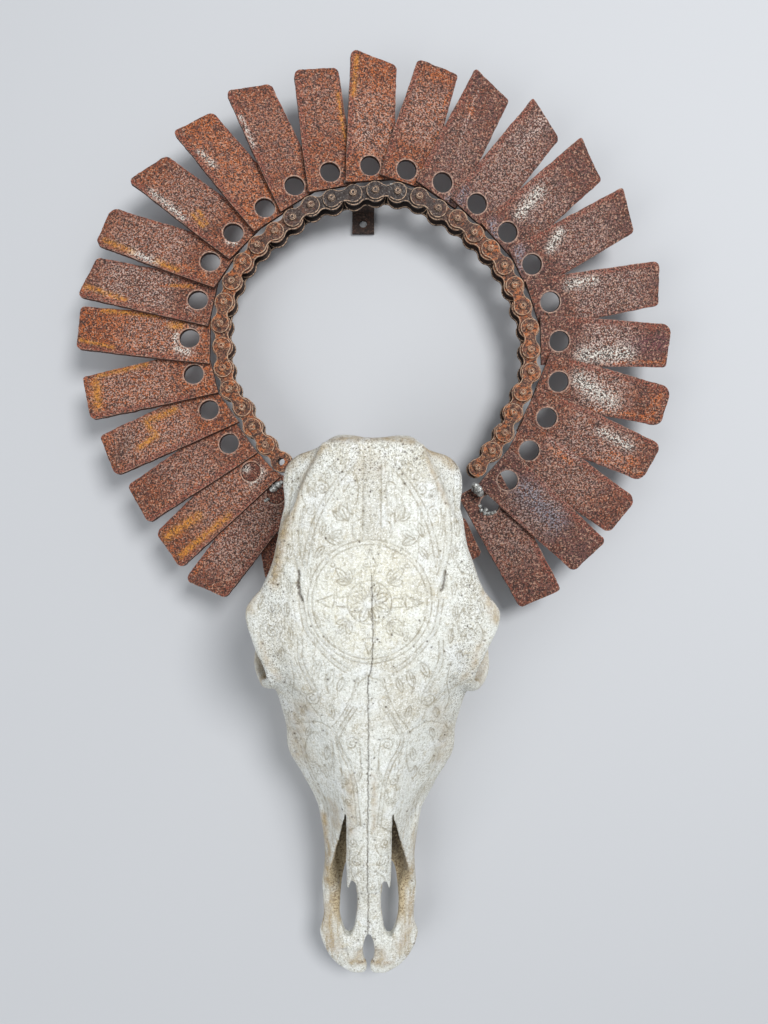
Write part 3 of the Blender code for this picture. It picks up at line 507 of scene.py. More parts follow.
# Scrolls, leaves and beads of the right half, which are mirrored on the left
CARVED_PAIRS = [
    *(beside(line, side * half) for line, half in BANDS for side in (-1, 1)),
    stroke((6.4, 41), (6.5, 12), (6.6, -16)), ring(32.2, 29.2, 1.9), ring(27.6, 34.8, 1.6),
    ring(22.2, 39.2, 1.3), ring(53.5, -50, 1.5), leaf(17, -3, 13, 6.5, 62), leaf(22, -20, 14, 6, 28),
    leaf(28.2, 3.9, 10.3, 4.5, 221), leaf(31.6, -15.8, 11.4, 4.5, 150), leaf(37, -14, 10, 4.5, 105),
    leaf(41, -30, 11, 4.5, 128), stroke((17, 15), (17.9, 8.5), (16.8, 4), (13.5, 1.2)),
    stroke((7, -1), (13.5, -5), (13, -15), (7, -17.5)), stroke((12, 30), (10, 22), (10.5, 13), (12.5, 8)),
    stroke((9.2, 26), (15.5, 24.5), (20, 18)), spiral(36.2, 20.5, 5.8, 1.8, 60, 1),
    stroke((39.1, 25.5), (33.6, 33), (26, 40)), leaf(41, 14, 9, 3.6, 55),
    stroke((43, 24), (49, 30), (52, 20), (50, 10)), stroke((46, 27), (47.5, 20), (44.5, 13.5)),
    spiral(45, 4, 5.4, 1.7, 20, 1), stroke((50.1, 5.8), (52, -4), (51.2, -14)), leaf(59, -20, 12, 4, -78),
    leaf(62, -2, 12, 4, -86), stroke((60, 22), (62, 10), (61, 0)), spiral(70, -47, 6.5, 1.6, 120, -1),
    stroke((66.8, -41.4), (62.5, -33), (62.5, -22)), leaf(61.5, -47, 10, 4, -95),
    spiral(74, -68, 6.0, 1.8, 150, 1), spiral(73.5, -87, 6.5, 1.8, 210, -1), leaf(80.5, -60, 11, 4.5, -72),
    stroke((68.8, -65), (64, -77), (67.8, -90.3)), leaf(62, -64, 11, 4, -88), leaf(60, -82, 11, 4, -96),
    stroke((80, -78), (84, -86), (82, -97)), leaf(66, -98, 12, 4.5, -80),
    spiral(44.5, -138, 7.0, 2.1, 80, 1), leaf(28, -113, 15, 6, -72), leaf(37, -107, 14, 5.5, -60),
    stroke((31, -116), (32.5, -124), (31, -132)), leaf(20, -119, 12, 4.5, -70),
    stroke((60, -108), (58, -124), (61, -140), (57, -156)), spiral(57, -160, 4.6, 1.7, 90, -1),
    leaf(63, -120, 12, 4.5, -88), leaf(50, -146, 11, 4.5, -75),
    stroke((10, -119), (14, -134), (22, -150), (29, -160)), leaf(30, -141, 12, 4.5, -100),
    spiral(60, -178, 5.6, 1.8, 70, 1), stroke((61.9, -172.7), (66, -164), (66, -154)),
    leaf(47, -164, 11, 4, -70), spiral(44.5, -204, 6.6, 2.2, 60, 1),
    stroke((47.8, -198.3), (52, -188), (50, -176), (44, -168)), leaf(33, -178, 13, 4.5, -84),
    leaf(36, -196, 12, 4.5, -98), stroke((29, -172), (28.5, -186), (31, -200)),
    spiral(13.6, -172, 5.6, 1.8, 160, -1), spiral(18.8, -204, 4.4, 1.7, 60, -1),
    stroke((21, -200.2), (22.8, -194)), stroke((8.3, -170), (7, -180), (6.8, -192)),
    leaf(6.5, -192, 11, 3.4, -78), spiral(16.4, -221.5, 4.2, 1.8, 100, 1),
    stroke((11.5, -206), (14, -213), (15.7, -217.4)),
    stroke((7.5, -240), (12, -244.5), (16.8, -249), (17.6, -253)), spiral(12.7, -257.5, 4.9, 1.8, 30, -1),
    spiral(9.3, -273.5, 4.6, 1.7, 60, -1), stroke((5, -259), (8, -266), (11.6, -269.5)),
    stroke((5.5, -281), (11.5, -287), (14, -291.5)), stroke((15.2, -264), (15.8, -276), (14, -284)),
]
# Sutures between the bones, which wander a little differently on the two sides
SEAMS = [
    stroke((-1.6, -117), (9.3, -122.4), (12.7, -134), (19, -154), (26, -166), (23, -186), (21.5, -205),
           (20, -223)),
    stroke((-1.6, -117), (-9.1, -124), (-14, -138), (-21, -155), (-25.5, -166), (-23, -186), (-21, -205),
           (-19.5, -231)),
    stroke((26, -166), (37, -160), (47, -158), (60, -166), (67, -176)),
    stroke((-25.5, -166), (-36, -158), (-47, -160), (-60, -166), (-67, -174)),
    stroke((37, -160), (44, -146), (56, -134), (70, -128), (82, -120)),
    stroke((-36, -158), (-45, -145), (-56, -134), (-70, -128), (-82, -118)),
]
# The split along the midline and small cracks at the notch and the poll
CRACKS = [
    stroke((0.6, -42), (1.0, -70), (1.8, -88), (1.2, -104), (0.6, -113), (-1.5, -121), (-1.2, -145),
           (-1, -168)),
    stroke((-1, -168), (-0.9, -220), (-0.9, -302)), stroke((-0.8, -303), (-0.7, -330), (-0.8, -362)),
    stroke((-10, -321.5), (-8, -324.5), (-6, -326)), stroke((5, -326), (7, -324.5), (9.3, -321.5)),
    stroke((60, 43), (62.5, 39.5), (64.5, 36)),
]
# The narrow openings behind the brows, and the channels that lead forward from them
BROW_SLITS = [stroke((-53.5, -40), (-53, -50), (-50.8, -62)), stroke((54.5, -39), (53.5, -46), (51.2, -54))]
BROW_CHANNELS = mirrored([stroke((51.5, -58), (49.5, -74), (47, -92), (42, -112))])
# Brown stains: the line down their middle, half-width, strength and the highest place they reach
STAINS = [
    (((-35.6, 51.5), (-48.5, 31.9), (-58.6, -2.3), (-64.0, -12.6)), 2.0, 0.5, 150),
    (((38.1, 50.3), (46.0, 27.9), (55.9, 8.2)), 2.0, 0.5, 150),
    (((-62.4, -1.7), (-68, -26), (-73.1, -50.1)), 4.0, 0.75, 150),
    (((-62, 37), (-58, 44), (-45, 49)), 4.0, 0.5, 150), (((59, 40), (54, 46), (40, 50)), 4.5, 0.7, 150),
    (((-92, -104), (-91, -118), (-82, -132)), 7.5, 0.6, 93),
    (((92, -104), (91, -118), (82, -132)), 7.5, 0.4, 93), (((-86, -56), (-95, -74)), 4.0, 0.45, 150),
    (((86, -56), (95, -76)), 4.0, 0.55, 150), (((-82, -96), (-77, -112), (-70, -124)), 2.5, 0.4, 150),
    (((82, -96), (77, -112), (70, -124)), 2.5, 0.35, 150),
    (((-33, -330), (-36, -352), (-28, -376)), 5.0, 0.45, 150),
    (((33, -330), (36, -352), (28, -376)), 5.0, 0.45, 150), (((-16, -389), (-3, -389)), 2.0, 0.8, 150),
    (((3, -389), (20, -389)), 2.0, 0.8, 150), (((8, -378), (11, -384)), 5.0, 0.6, 150),
    (((-8, -380), (-11, -385)), 5.0, 0.5, 150), (((-38, -250), (-36, -280), (-35, -312)), 3.5, 0.7, 150),
    (((38, -262), (36, -290), (36, -310)), 3.0, 0.35, 150), (((-29, -232), (-27, -250)), 4.5, 0.5, 150),
    (((-15, -200), (-14, -236), (-15, -252)), 4.0, 0.4, 150),
    (((-6, 36), (0, 41), (7, 35)), 6.0, 0.22, 150), (((-30, 56), (0, 58), (30, 56)), 3.0, 0.6, 150),
    (((-52, -150), (-60, -172), (-58, -196)), 8.0, 0.35, 150),
    (((52, -150), (60, -172), (58, -196)), 8.0, 0.25, 150),
    (((3, -196), (4, -214), (4, -246)), 1.6, 0.5, 150),
]


def empty_map(value):
    cells = [int((high - low) / CARVE_CELL) for low, high in zip(MAP_LOW, MAP_HIGH)]
    return np.full(cells, value, np.float32)


def stamp(drawn, x, y, reach, join, shape):
    """Joins to the map, in the cells within reach of a spot, what shape makes of their distance from it."""
    i, j = int((x - MAP_LOW[0]) / CARVE_CELL), int((y - MAP_LOW[1]) / CARVE_CELL)
    if reach < i < drawn.shape[0] - reach and reach < j < drawn.shape[1] - reach:
        step = np.arange(-reach, reach + 1)
        off_x = (i + step) * CARVE_CELL + MAP_LOW[0] - x
        off_y = (j + step) * CARVE_CELL + MAP_LOW[1] - y
        window = drawn[i - reach:i + reach + 1, j - reach:j + reach + 1]
        join(window, shape(np.hypot(off_x[:, None], off_y[None, :])), out=window)


def distance_map(lines):
    """Distance to the nearest line from each cell of the front view, up to CARVE_REACH."""
    drawn = empty_map(CARVE_REACH)
    for x, y in np.concatenate(lines):
        stamp(drawn, x, y, int(CARVE_REACH / CARVE_CELL), np.minimum, lambda gap: gap)
    return drawn


def pore_map(count, seed):
    """Depth of scattered pores, thicker on the poll, along the midline and on the cheeks."""
    random = np.random.default_rng(seed)
    drawn = empty_map(0)
    made = 0
    while made < count:
        x, y = random.uniform(-95, 95), random.uniform(-396, 60)
        share = (math.exp(-((y - 45) / 22)**2) + math.exp(-(x / 9)**2) * 0.9
                 + math.exp(-((abs(x) - 70) / 16)**2) * 0.6 + 0.08)
        radius = random.uniform(0.3, 0.75)
        if random.uniform() <= share:
            made += 1
            stamp(drawn, x, y, 4, np.maximum, lambda gap: np.clip(1.4 - gap / radius, 0, 1) * radius)
    return drawn


def read_map(drawn, x, y):
    """The drawn map's values at places of the front view, between its cells."""
    u = np.clip((x - MAP_LOW[0]) / CARVE_CELL, 0, drawn.shape[0] - 1.001)
    v = np.clip((y - MAP_LOW[1]) / CARVE_CELL, 0, drawn.shape[1] - 1.001)
    i, j = u.astype(int), v.astype(int)
    s, t = u - i, v - j
    return ((drawn[i, j] * (1 - s) + drawn[i + 1, j] * s) * (1 - t)
            + (drawn[i, j + 1] * (1 - s) + drawn[i + 1, j + 1] * s) * t)


maps = {
    "carving": distance_map(rosette() + mirrored(CARVED_PAIRS)),
    "seam": distance_map([worn(line, 20 + i, 0.4) for i, line in enumerate(SEAMS)]),
    "crack": distance_map([worn(line, 40 + i, 0.3) for i, line in enumerate(CRACKS)]),
    "brow": distance_map([worn(line, 50 + i, 0.4) for i, line in enumerate(BROW_SLITS)]),
    "channel": distance_map(BROW_CHANNELS),
    "band": distance_map(mirrored([line for line, half in BANDS])),
}
pores = pore_map(PORES, seed=7)


def faces_camera(places, normals):
    """1 on the front skin of the skull, 0 below it and on its steep sides."""
    i = np.clip(((places[:, 0] + grid[0][-1]) / BONE_CELL).round().astype(int), 0, top_heights.shape[0] - 1)
    j = np.clip(((places[:, 1] - grid[1][0]) / BONE_CELL).round().astype(int), 0, top_heights.shape[1] - 1)
    return (places[:, 2] > top_heights[i, j] - 4.5) & (normals[:, 2] > 0.12)


def dip(name, places, width):
    """1 on the lines of a map, falling off beside them."""
    return np.exp(-(read_map(maps[name], places[:, 0], places[:, 1]) / width)**2)


def nearest_line(places, names):
    """Distance to the nearest line of the named maps."""
    return np.minimum.reduce([read_map(maps[name], places[:, 0], places[:, 1]) for name in names])


# The skin is made finer near every line and pore, in two steps, and then pressed in there
for limit in (1.7, 1.1):
    places = mesh_points(mesh)
    near = nearest_line(places, GROOVES)
    near = np.where(read_map(pores, places[:, 0], places[:, 1]) > 0, 0, near)
    wanted = (near < limit) & faces_camera(places, mesh_points(mesh, "normal"))
    bm = bmesh.new()
    bm.from_mesh(mesh)
    edges = [edge for edge in bm.edges if wanted[edge.verts[0].index] and wanted[edge.verts[1].index]]
    bmesh.ops.subdivide_edges(bm, edges=edges, cuts=1, use_grid_fill=True)
    bm.to_mesh(mesh)
    bm.free()
places, normals = mesh_points(mesh), mesh_points(mesh, "normal")
x, y = places[:, 0], places[:, 1]
depth = np.maximum.reduce([deep * dip(name, places, width) for name, (deep, width) in GROOVES.items()])
shallow = sum(deep * dip(name, places, width) for name, (deep, width) in SHALLOWS.items())
depth += shallow + read_map(pores, x, y)
depth *= faces_camera(places, normals)
mesh.vertices.foreach_set("co", (places - normals * depth[:, None]).astype(np.float32).ravel())
mesh.update()
skin = new_piece("bone_skin", mesh)
clouds = bpy.data.textures.new("swell", "CLOUDS")
clouds.noise_scale = 22.0
swell = skin.modifiers.new("swell", "DISPLACE")
swell.texture = clouds
swell.texture_coords = "LOCAL"
swell.strength = 1.2
swell.mid_level = 0.75
# The thinning spares the engraving, whose lines need points closer than half a millimetre
engraved = (nearest_line(places, ("carving", "seam", "crack")) < 0.7) & faces_camera(places, normals)
plain = skin.vertex_groups.new(name="plain")
plain.add(np.flatnonzero(~engraved).tolist(), 1.0, "REPLACE")
plain.add(np.flatnonzero(engraved).tolist(), 0.5, "REPLACE")
thin = skin.modifiers.new("thin", "DECIMATE")
thin.ratio = min(1.0, BONE_TRIANGLES / sum(len(face.vertices) - 2 for face in mesh.polygons))
thin.vertex_group = plain.name
thin.vertex_group_factor = LINE_CARE
mesh = settled_mesh(skin, "carved_skull")
places, normals = mesh_points(mesh), mesh_points(mesh, "normal")
front = faces_camera(places, normals)
x, y, z = places[:, 0], places[:, 1], places[:, 2]
aside = np.abs(x)               # distance from the midline
# The engraving: its grooves, the flat bands that run through it, and the paler bone round the medallion
# groove: grey-brown in the engraved grooves and seams, partly dust and partly painted shade
store(mesh, "groove", np.maximum(dip("carving", places, 0.5), 0.9 * dip("seam", places, 0.45)) * front)
half, low, high = MIDLINE_BAND
store(mesh, "band", np.maximum(dip("band", places, 1.8), (aside < half) & (y > low) & (y < high)) * front)
store(mesh, "cream", np.clip(2.2 - np.hypot(x - MEDALLION[0], y - MEDALLION[1]) / 24, 0, 1) * front)
dark = np.maximum(dip("crack", places, 0.38), 0.95 * dip("brow", places, 0.8))
store(mesh, "crack", np.maximum(dark, np.clip(read_map(pores, x, y) * 1.6, 0, 1)) * front)
# The openings, the inside of the nose, and, as painted shade, its darkest part deep under the slits
hollow = np.clip((3.0 - opening_field(aside, y, z)) / 3.0, 0, 1) * ~front
inward = np.clip((0.1 - np.sign(x) * normals[:, 0]) / 0.3, 0, 1) * (aside > 14) * (aside < 40)
floor_of_nose = (aside > 12.5) & (aside < 30) & (z < 44) & (y > -326)
inside = (y < -225) * np.clip((y + 356) / 16, 0, 1) * (z < 74) * np.maximum(inward, floor_of_nose)
store(mesh, "hollow", np.maximum(hollow * np.where(y > -200, 0.55, 1.0), inside))
# deep: painted shade, near-black brown far in under the nasal bones
store(mesh, "deep", inside * np.clip((y + np.where(x < 0, 296, 318)) / 34, 0, 1) * (z < 66))
# Bone whose pores lie open, at the poll, on the cheeks and on the midline, and the brownish snout and teeth
poll = np.exp(-((y - 46) / 20)**2)
cheeks = np.exp(-((aside - 74) / 14)**2)
snout = np.clip((-236 - y) / 40, 0, 1) * np.clip((y + 393) / 4, 0, 1)
store(mesh, "snout", snout * np.clip((aside - 18) / 8, 0, 1))
ridge = np.exp(-(x / 8)**2) * np.clip((y + 60) / 60, 0, 1)
store(mesh, "porous", np.clip(0.22 + 0.6 * poll + 0.6 * cheeks + 0.25 * snout + 0.35 * ridge, 0, 1))
store(mesh, "tooth", (z < 26) & (y < -120) & (y > -242) & (aside > 30))
stain = np.zeros(len(x))
for points, width, strength, highest in STAINS:
    line = stroke(*points)
    gap = np.min(np.hypot(x[:, None] - line[None, ::6, 0], y[:, None] - line[None, ::6, 1]), axis=1)
    stain = np.maximum(stain, strength * np.exp(-(gap / width)**2) * (z < highest))
store(mesh, "stain", stain)
places[:, 2] = np.maximum(places[:, 2], TOOTH_END)
places[:, 1] = np.maximum(places[:, 1], SNOUT_END)
mesh.vertices.foreach_set("co", places.ravel())


def linear(hex_colour):
    """An sRGB colour such as #c8b090 in the linear values that nodes take."""
    parts = [int(hex_colour[i:i + 2], 16) / 255 for i in (1, 3, 5)]
    return [p / 12.92 if p <= 0.04045 else ((p + 0.055) / 1.055)**2.4 for p in parts] + [1.0]


def add(tree, kind, values=None, out=0, **settings):
    """Adds a node with its settings and gives its output; values holds each input's constant or source."""
    node = tree.nodes.new(kind)
    for name, setting in settings.items():
        setattr(node, name, setting)
    for key, value in (values or {}).items():
        socket = node.inputs[key]
        if isinstance(value, bpy.types.NodeSocket):
            tree.links.new(value, socket)
        else:
            socket.default_value = value
    return node.outputs[out] if len(node.outputs) else node


def layered_finish(name, base, roughness, layers, relief, specular=0.5):
    """A matt surface in layers, each a colour that a pattern and a kept attribute lay over those before.

    A layer is colour, strength, pattern, size in mm, and the pattern's values where it begins and is full,
    then the attribute that confines it, if any. A pattern is noise, streaks, spots or plain. Relief is
    pattern, size and height in mm.
    """
    material = bpy.data.materials.new(name)
    material.use_nodes = True
    tree = material.node_tree
    place = add(tree, "ShaderNodeTexCoord", out="Object")
    patterns = {}
    for pattern, size in [layer[2:4] for layer in layers] + [row[:2] for row in relief]:
        if pattern == "noise":
            patterns[pattern, size] = add(tree, "ShaderNodeTexNoise", {
                "Vector": place, "Scale": 1000 / size, "Detail": 4.0, "Roughness": 0.62}, out="Fac")
        elif pattern == "streaks":
            drawn_out = add(tree, "ShaderNodeMapping", {"Vector": place, "Scale": (1.0, 0.14, 1.0)})
            patterns[pattern, size] = add(tree, "ShaderNodeTexNoise", {
                "Vector": drawn_out, "Scale": 1000 / size, "Detail": 3.0, "Roughness": 0.6}, out="Fac")
        elif pattern == "spots":
            patterns[pattern, size] = add(tree, "ShaderNodeTexVoronoi", {
                "Vector": place, "Scale": 1000 / size}, out="Distance")
    colour = linear(base)
    for tint, strength, pattern, size, begins, full, kept in layers:
        mask = strength
        if pattern != "plain":
            mask = add(tree, "ShaderNodeMapRange", {
                0: patterns[pattern, size], 1: begins, 2: full, 3: 0.0, 4: strength},
                interpolation_type="SMOOTHSTEP")
        if kept:
            share = add(tree, "ShaderNodeAttribute", out="Fac", attribute_name=kept)
            mask = add(tree, "ShaderNodeMath", {0: share, 1: mask}, operation="MULTIPLY", use_clamp=True)
        colour = add(tree, "ShaderNodeMix", {0: mask, 6: colour, 7: linear(tint)}, out=2, data_type="RGBA")
    height = 0.0
    for pattern, size, tall in relief:
        height = add(tree, "ShaderNodeMath", {0: patterns[pattern, size], 1: tall, 2: height},
                     operation="MULTIPLY_ADD")
    shader = tree.nodes["Principled BSDF"]
    tree.links.new(colour, shader.inputs["Base Color"])
    shader.inputs["Roughness"].default_value = roughness
    shader.inputs["Specular IOR Level"].default_value = specular
    tree.links.new(add(tree, "ShaderNodeBump", {"Height": height, "Distance": MM, "Strength": 1.0}),
                   shader.inputs["Normal"])
    return material


# Dry bone is matt and chalky: cream to bluish white in broad patches, tan where grease and earth stayed in
# it, with a grain of about 1 mm and fine dark pores. The engraving is grey-brown in its grooves, partly dust
# and partly painted shade.
dry_bone = layered_finish("weathered_dry_bone", "#e4e6df", 0.62, [
    ("#cdc8b8", 0.70, "noise", 42, 0.42, 0.66, None),
    ("#e9e5cf", 0.60, "noise", 17, 0.30, 0.55, "cream"),
    ("#eef1f0", 0.70, "noise", 17, 0.50, 0.68, None),
    ("#b7a988", 0.60, "noise", 7.5, 0.54, 0.74, None),
    ("#b3b1a8", 0.60, "noise", 1.5, 0.40, 0.62, "band"),
    ("#a69f8b", 0.50, "streaks", 2.3, 0.50, 0.66, None),
    ("#a58f68", 0.70, "streaks", 4.5, 0.46, 0.64, "snout"),
    ("#8f8977", 0.42, "noise", 1.7, 0.49, 0.64, None),
    ("#fbfcf8", 0.70, "noise", 1.5, 0.49, 0.62, None),
    ("#5f5646", 0.90, "noise", 1.1, 0.51, 0.62, "porous"),
    ("#b0935f", 0.90, "noise", 7.5, 0.25, 0.60, "stain"),
    ("#6a4f33", 0.85, "noise", 1.5, 0.45, 0.60, "stain"),
    # Grey-brown in the grooves: partly dust, partly painted shade
    ("#8d8470", 0.70, "noise", 7.5, 0.34, 0.66, "groove"),
    ("#8c8470", 0.50, "noise", 2.3, 0.34, 0.62, "groove"),
    ("#44352a", 0.92, "plain", 1.0, 0.0, 1.0, "crack"),
    ("#5b4733", 0.85, "spots", 2.6, 0.15, 0.05, "porous"),
    ("#c8b692", 0.92, "noise", 17, 0.10, 0.50, "hollow"),
    ("#6a5238", 0.75, "noise", 1.5, 0.47, 0.59, "hollow"),
    # Painted shade: near-black brown deep in the nose under the slits
    ("#3d3025", 0.80, "noise", 2.3, 0.28, 0.56, "deep"),
    ("#c9b78f", 0.85, "noise", 7.5, 0.20, 0.60, "tooth"),
], [("noise", 1.1, 0.25), ("noise", 2.3, 0.45), ("noise", 7.5, 0.8), ("spots", 2.6, 0.1)], specular=0.35)
mesh.materials.append(dry_bone)
mesh.shade_smooth()
place = (Matrix.Scale(MM, 4) @ Matrix.Translation((SKULL_X, SKULL_Y, 0)) @ Matrix.Rotation(SKULL_YAW, 4, "Z")
         @ Matrix.Translation((0, -SKULL_Y, 0)))
mesh.transform(place)
skull = new_piece("carved_skull", mesh)
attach(skull, "root")
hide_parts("skull")

# Chain
# The real ring is 34 pitches of 3/4 inch roller chain, bent round and rusted stiff, with its gap behind the
# skull. Pressed steel plates, inner and outer by turns, sit on hardened pins whose ends stand proud and are
# riveted over.
PITCH = 19.05
CHAIN_Z = 36.0
CHAIN_START = (-80.8, 47.1)
# Direction of each link in turn, degrees
LINK_HEADINGS = (132, 127, 117, 126, 106, 93, 94, 80, 70, 60, 49, 39, 37, 35, 17, 13, 9, -3, -14, -32, -28,
                 -40, -45, -51, -62, -69, -72, -87, -89, -112, -115, -113, -124, -131)
PLATE_THICK = 2.3
# Radius of a plate's ends, and how far its middle lies from the chain's
INNER_PLATE = (9.05, 7.45 - PLATE_THICK / 2)
OUTER_PLATE = (7.8, 10.05 - PLATE_THICK / 2)
PLATE_WAIST = 0.62             # of the radius
PLATE_WORN = 0.65
PLATE_HALF = (5.9, 8.1)        # half-width of a plate at its middle and a quarter of the way from a pin
ROLLER_R = 5.95
BUSHING_R = 4.35
BORE_R = 3.2
PIN_R = 2.97
PIN_HALF = 12.7
CHAMFER = 0.4
CHAIN_WEAR = 0.25              # how far the rusted skin wanders in and out
LINK_LEAN = 0.02               # radians that a link may lean out of the ring's plane
SOOTY_LINK = 16                # the links round this one are the sootiest
SHARP = math.radians(40)       # edges sharper than this aren't smoothed


def node_tree(name, sockets):
    """An empty Geometry Nodes tree with a Geometry input and output and the named inputs."""
    tree = bpy.data.node_groups.new(name, "GeometryNodeTree")
    tree.interface.new_socket("Geometry", in_out="INPUT", socket_type="NodeSocketGeometry")
    for label, kind in sockets:
        tree.interface.new_socket(label, in_out="INPUT", socket_type="NodeSocket" + kind)
    tree.interface.new_socket("Geometry", in_out="OUTPUT", socket_type="NodeSocketGeometry")
    return tree, add(tree, "NodeGroupInput").node.outputs


def grown(item, tree, values, name):
    """The mesh that a tree makes from the item, with its named inputs set; the item is removed."""
    modifier = item.modifiers.new(name, "NODES")
    modifier.node_group = tree
    for socket in tree.interface.items_tree:
        if socket.in_out == "INPUT" and socket.name in values:
            modifier[socket.identifier] = values[socket.name]
    return settled_mesh(item, name)


def mesh_of(bm, name):
    """The finished bmesh as a mesh."""
    mesh = bpy.data.meshes.new(name)
    bm.to_mesh(mesh)
    bm.free()
    return mesh


def finished(name, mesh, sharp=False):
    """The piece made of a mesh in millimetres, shaded smooth, with its sharp edges kept if asked."""
    mesh.transform(Matrix.Scale(MM, 4))
    mesh.shade_smooth()
    if sharp:
        mesh.set_sharp_from_angle(angle=SHARP)
    return new_piece(name, mesh)


def plate_outline(radius):
    """Figure of eight of a link plate: two round ends, joined by hollow arcs."""
    half, waist = PITCH / 2, radius * PLATE_WAIST
    hollow = (half**2 + waist**2 - radius**2) / (2 * (radius - waist))
    meet = math.atan2(waist + hollow, half)
    right = [(half + radius * math.cos(a), radius * math.sin(a))
             for a in np.linspace(meet - math.pi, math.pi - meet, 31)]
    above = [(hollow * math.cos(a), waist + hollow + hollow * math.sin(a))
             for a in np.linspace(-meet, meet - math.pi, 11)[1:-1]]
    left = [(-px, -py) for px, py in right]
    return right + above + left + [(-px, -py) for px, py in above]


def each_once(items):
    """The items in their order, without what comes twice."""
    return list(dict.fromkeys(items))


def add_plate(bm, outline, holes, low, high, worn):
    """A flat plate with round holes and softened edges."""
    edges = []
    turns = np.linspace(0, 2 * math.pi, 25)[:-1]
    loops = [outline] + [[(hx + r * math.cos(a), hy + r * math.sin(a)) for a in turns] for hx, hy, r in holes]
    for loop in loops:
        ring = [bm.verts.new((px, py, low)) for px, py in loop]
        edges += [bm.edges.new((a, b)) for a, b in zip(ring, ring[1:] + ring[:1])]
    filled = [f for f in bmesh.ops.triangle_fill(bm, edges=edges, use_beauty=True)["geom"]
              if isinstance(f, bmesh.types.BMFace)]
    bmesh.ops.recalc_face_normals(bm, faces=filled)
    raised = bmesh.ops.extrude_face_region(bm, geom=filled, use_keep_orig=True)["geom"]
    for v in raised:
        if isinstance(v, bmesh.types.BMVert):
            v.co.z = high
    sides = each_once(f for e in edges for f in e.link_faces if f not in filled)
    raised = [f for f in raised if isinstance(f, bmesh.types.BMFace)]
    bmesh.ops.recalc_face_normals(bm, faces=each_once(filled + raised + sides))
    rims = each_once(e for f in sides for e in f.edges if abs(e.verts[0].co.z - e.verts[1].co.z) < 1e-6)
    bmesh.ops.bevel(bm, geom=rims, offset=worn, segments=2, profile=0.5, affect="EDGES")


def add_turning(bm, middle, profile, steps=28):
    """A turned part that stands on the chain's plane; profile gives radius and height along it."""
    rings = []
    for radius, height in profile:
        rings.append([bm.verts.new((middle + radius * math.cos(a), radius * math.sin(a), height))
                      for a in np.linspace(0, 2 * math.pi, steps + 1)[:-1]])
    closed = profile[0] == profile[-1]
    if closed:
        for v in rings.pop():
            bm.verts.remove(v)
    pairs = list(zip(rings, rings[1:])) + ([(rings[-1], rings[0])] if closed else [])
    made = []
    for low, high in pairs:
        for i in range(steps):
            made.append(bm.faces.new((low[i], low[i - 1], high[i - 1], high[i])))
    if not closed:
        made.append(bm.faces.new(rings[0]))
        made.append(bm.faces.new(rings[-1][::-1]))
    bmesh.ops.recalc_face_normals(bm, faces=made)


def link_item(name, plate, pin_places):
    """One link, as an item for the chain's tree to repeat."""
    radius, level = plate
    inner = plate is INNER_PLATE
    bm = bmesh.new()
    holes = [(side * PITCH / 2, 0, BORE_R if inner else PIN_R - CHAMFER) for side in (-1, 1)]
    for middle in (-level, level):
        add_plate(bm, plate_outline(radius), holes, middle - PLATE_THICK / 2, middle + PLATE_THICK / 2,
                  PLATE_WORN)
    for place in pin_places:
        if inner:
            end = level + PLATE_THICK / 2 + 0.25
            add_turning(bm, place, [(BORE_R, -end), (BUSHING_R, -end), (BUSHING_R, end), (BORE_R, end),
                                    (BORE_R, -end)])
            end = level - PLATE_THICK / 2 - 0.2
            add_turning(bm, place, [(BUSHING_R, -end), (ROLLER_R - CHAMFER, -end), (ROLLER_R, -end + CHAMFER),
                                    (ROLLER_R, end - CHAMFER), (ROLLER_R - CHAMFER, end), (BUSHING_R, end),
                                    (BUSHING_R, -end)])
        else:
            half = [(1.2, -PIN_HALF + 0.35), (1.9, -PIN_HALF), (PIN_R - 0.5, -PIN_HALF + 0.1),
                    (PIN_R, -PIN_HALF + 0.7)]
            add_turning(bm, place, half + [(r, -h) for r, h in half[::-1]])
    return new_piece(name, mesh_of(bm, name))


pin_places = [np.array(CHAIN_START)]
for heading in LINK_HEADINGS:
    turn = math.radians(heading)
    pin_places.append(pin_places[-1] + PITCH * np.array((math.cos(turn), math.sin(turn))))

tree, given = node_tree("chain_run", [
    ("Inner link", "Object"), ("Outer link", "Object"), ("Steel", "Material"), ("Wear", "Float"),
    ("Seed", "Int")])
heading = add(tree, "GeometryNodeInputNamedAttribute", {"Name": "heading"}, data_type="FLOAT")
is_outer = add(tree, "GeometryNodeInputNamedAttribute", {"Name": "is_outer"}, data_type="FLOAT")
lean = add(tree, "FunctionNodeRandomValue", {
    0: (-LINK_LEAN, -LINK_LEAN, 0.0), 1: (LINK_LEAN, LINK_LEAN, 0.0), "Seed": given["Seed"]},
    data_type="FLOAT_VECTOR")
turn = add(tree, "ShaderNodeCombineXYZ", {"Z": heading})
turn = add(tree, "ShaderNodeVectorMath", {0: turn, 1: lean}, operation="ADD")
runs = []
for label, compare in (("Inner link", "LESS_THAN"), ("Outer link", "GREATER_THAN")):
    chosen = add(tree, "ShaderNodeMath", {0: is_outer, 1: 0.5}, operation=compare)
    item = add(tree, "GeometryNodeObjectInfo", {"Object": given[label]}, out="Geometry",
               transform_space="ORIGINAL")
    runs.append(add(tree, "GeometryNodeInstanceOnPoints", {
        "Points": given["Geometry"], "Selection": chosen, "Instance": item, "Rotation": turn}))
joined = add(tree, "GeometryNodeJoinGeometry")
for run in runs:
    tree.links.new(run, joined.node.inputs[0])
whole = add(tree, "GeometryNodeRealizeInstances", {0: joined})
worn = add(tree, "ShaderNodeTexNoise", {"Scale": 0.9, "Detail": 2.0}, out="Fac")
worn = add(tree, "ShaderNodeMath", {0: worn, 1: 0.5}, operation="SUBTRACT")
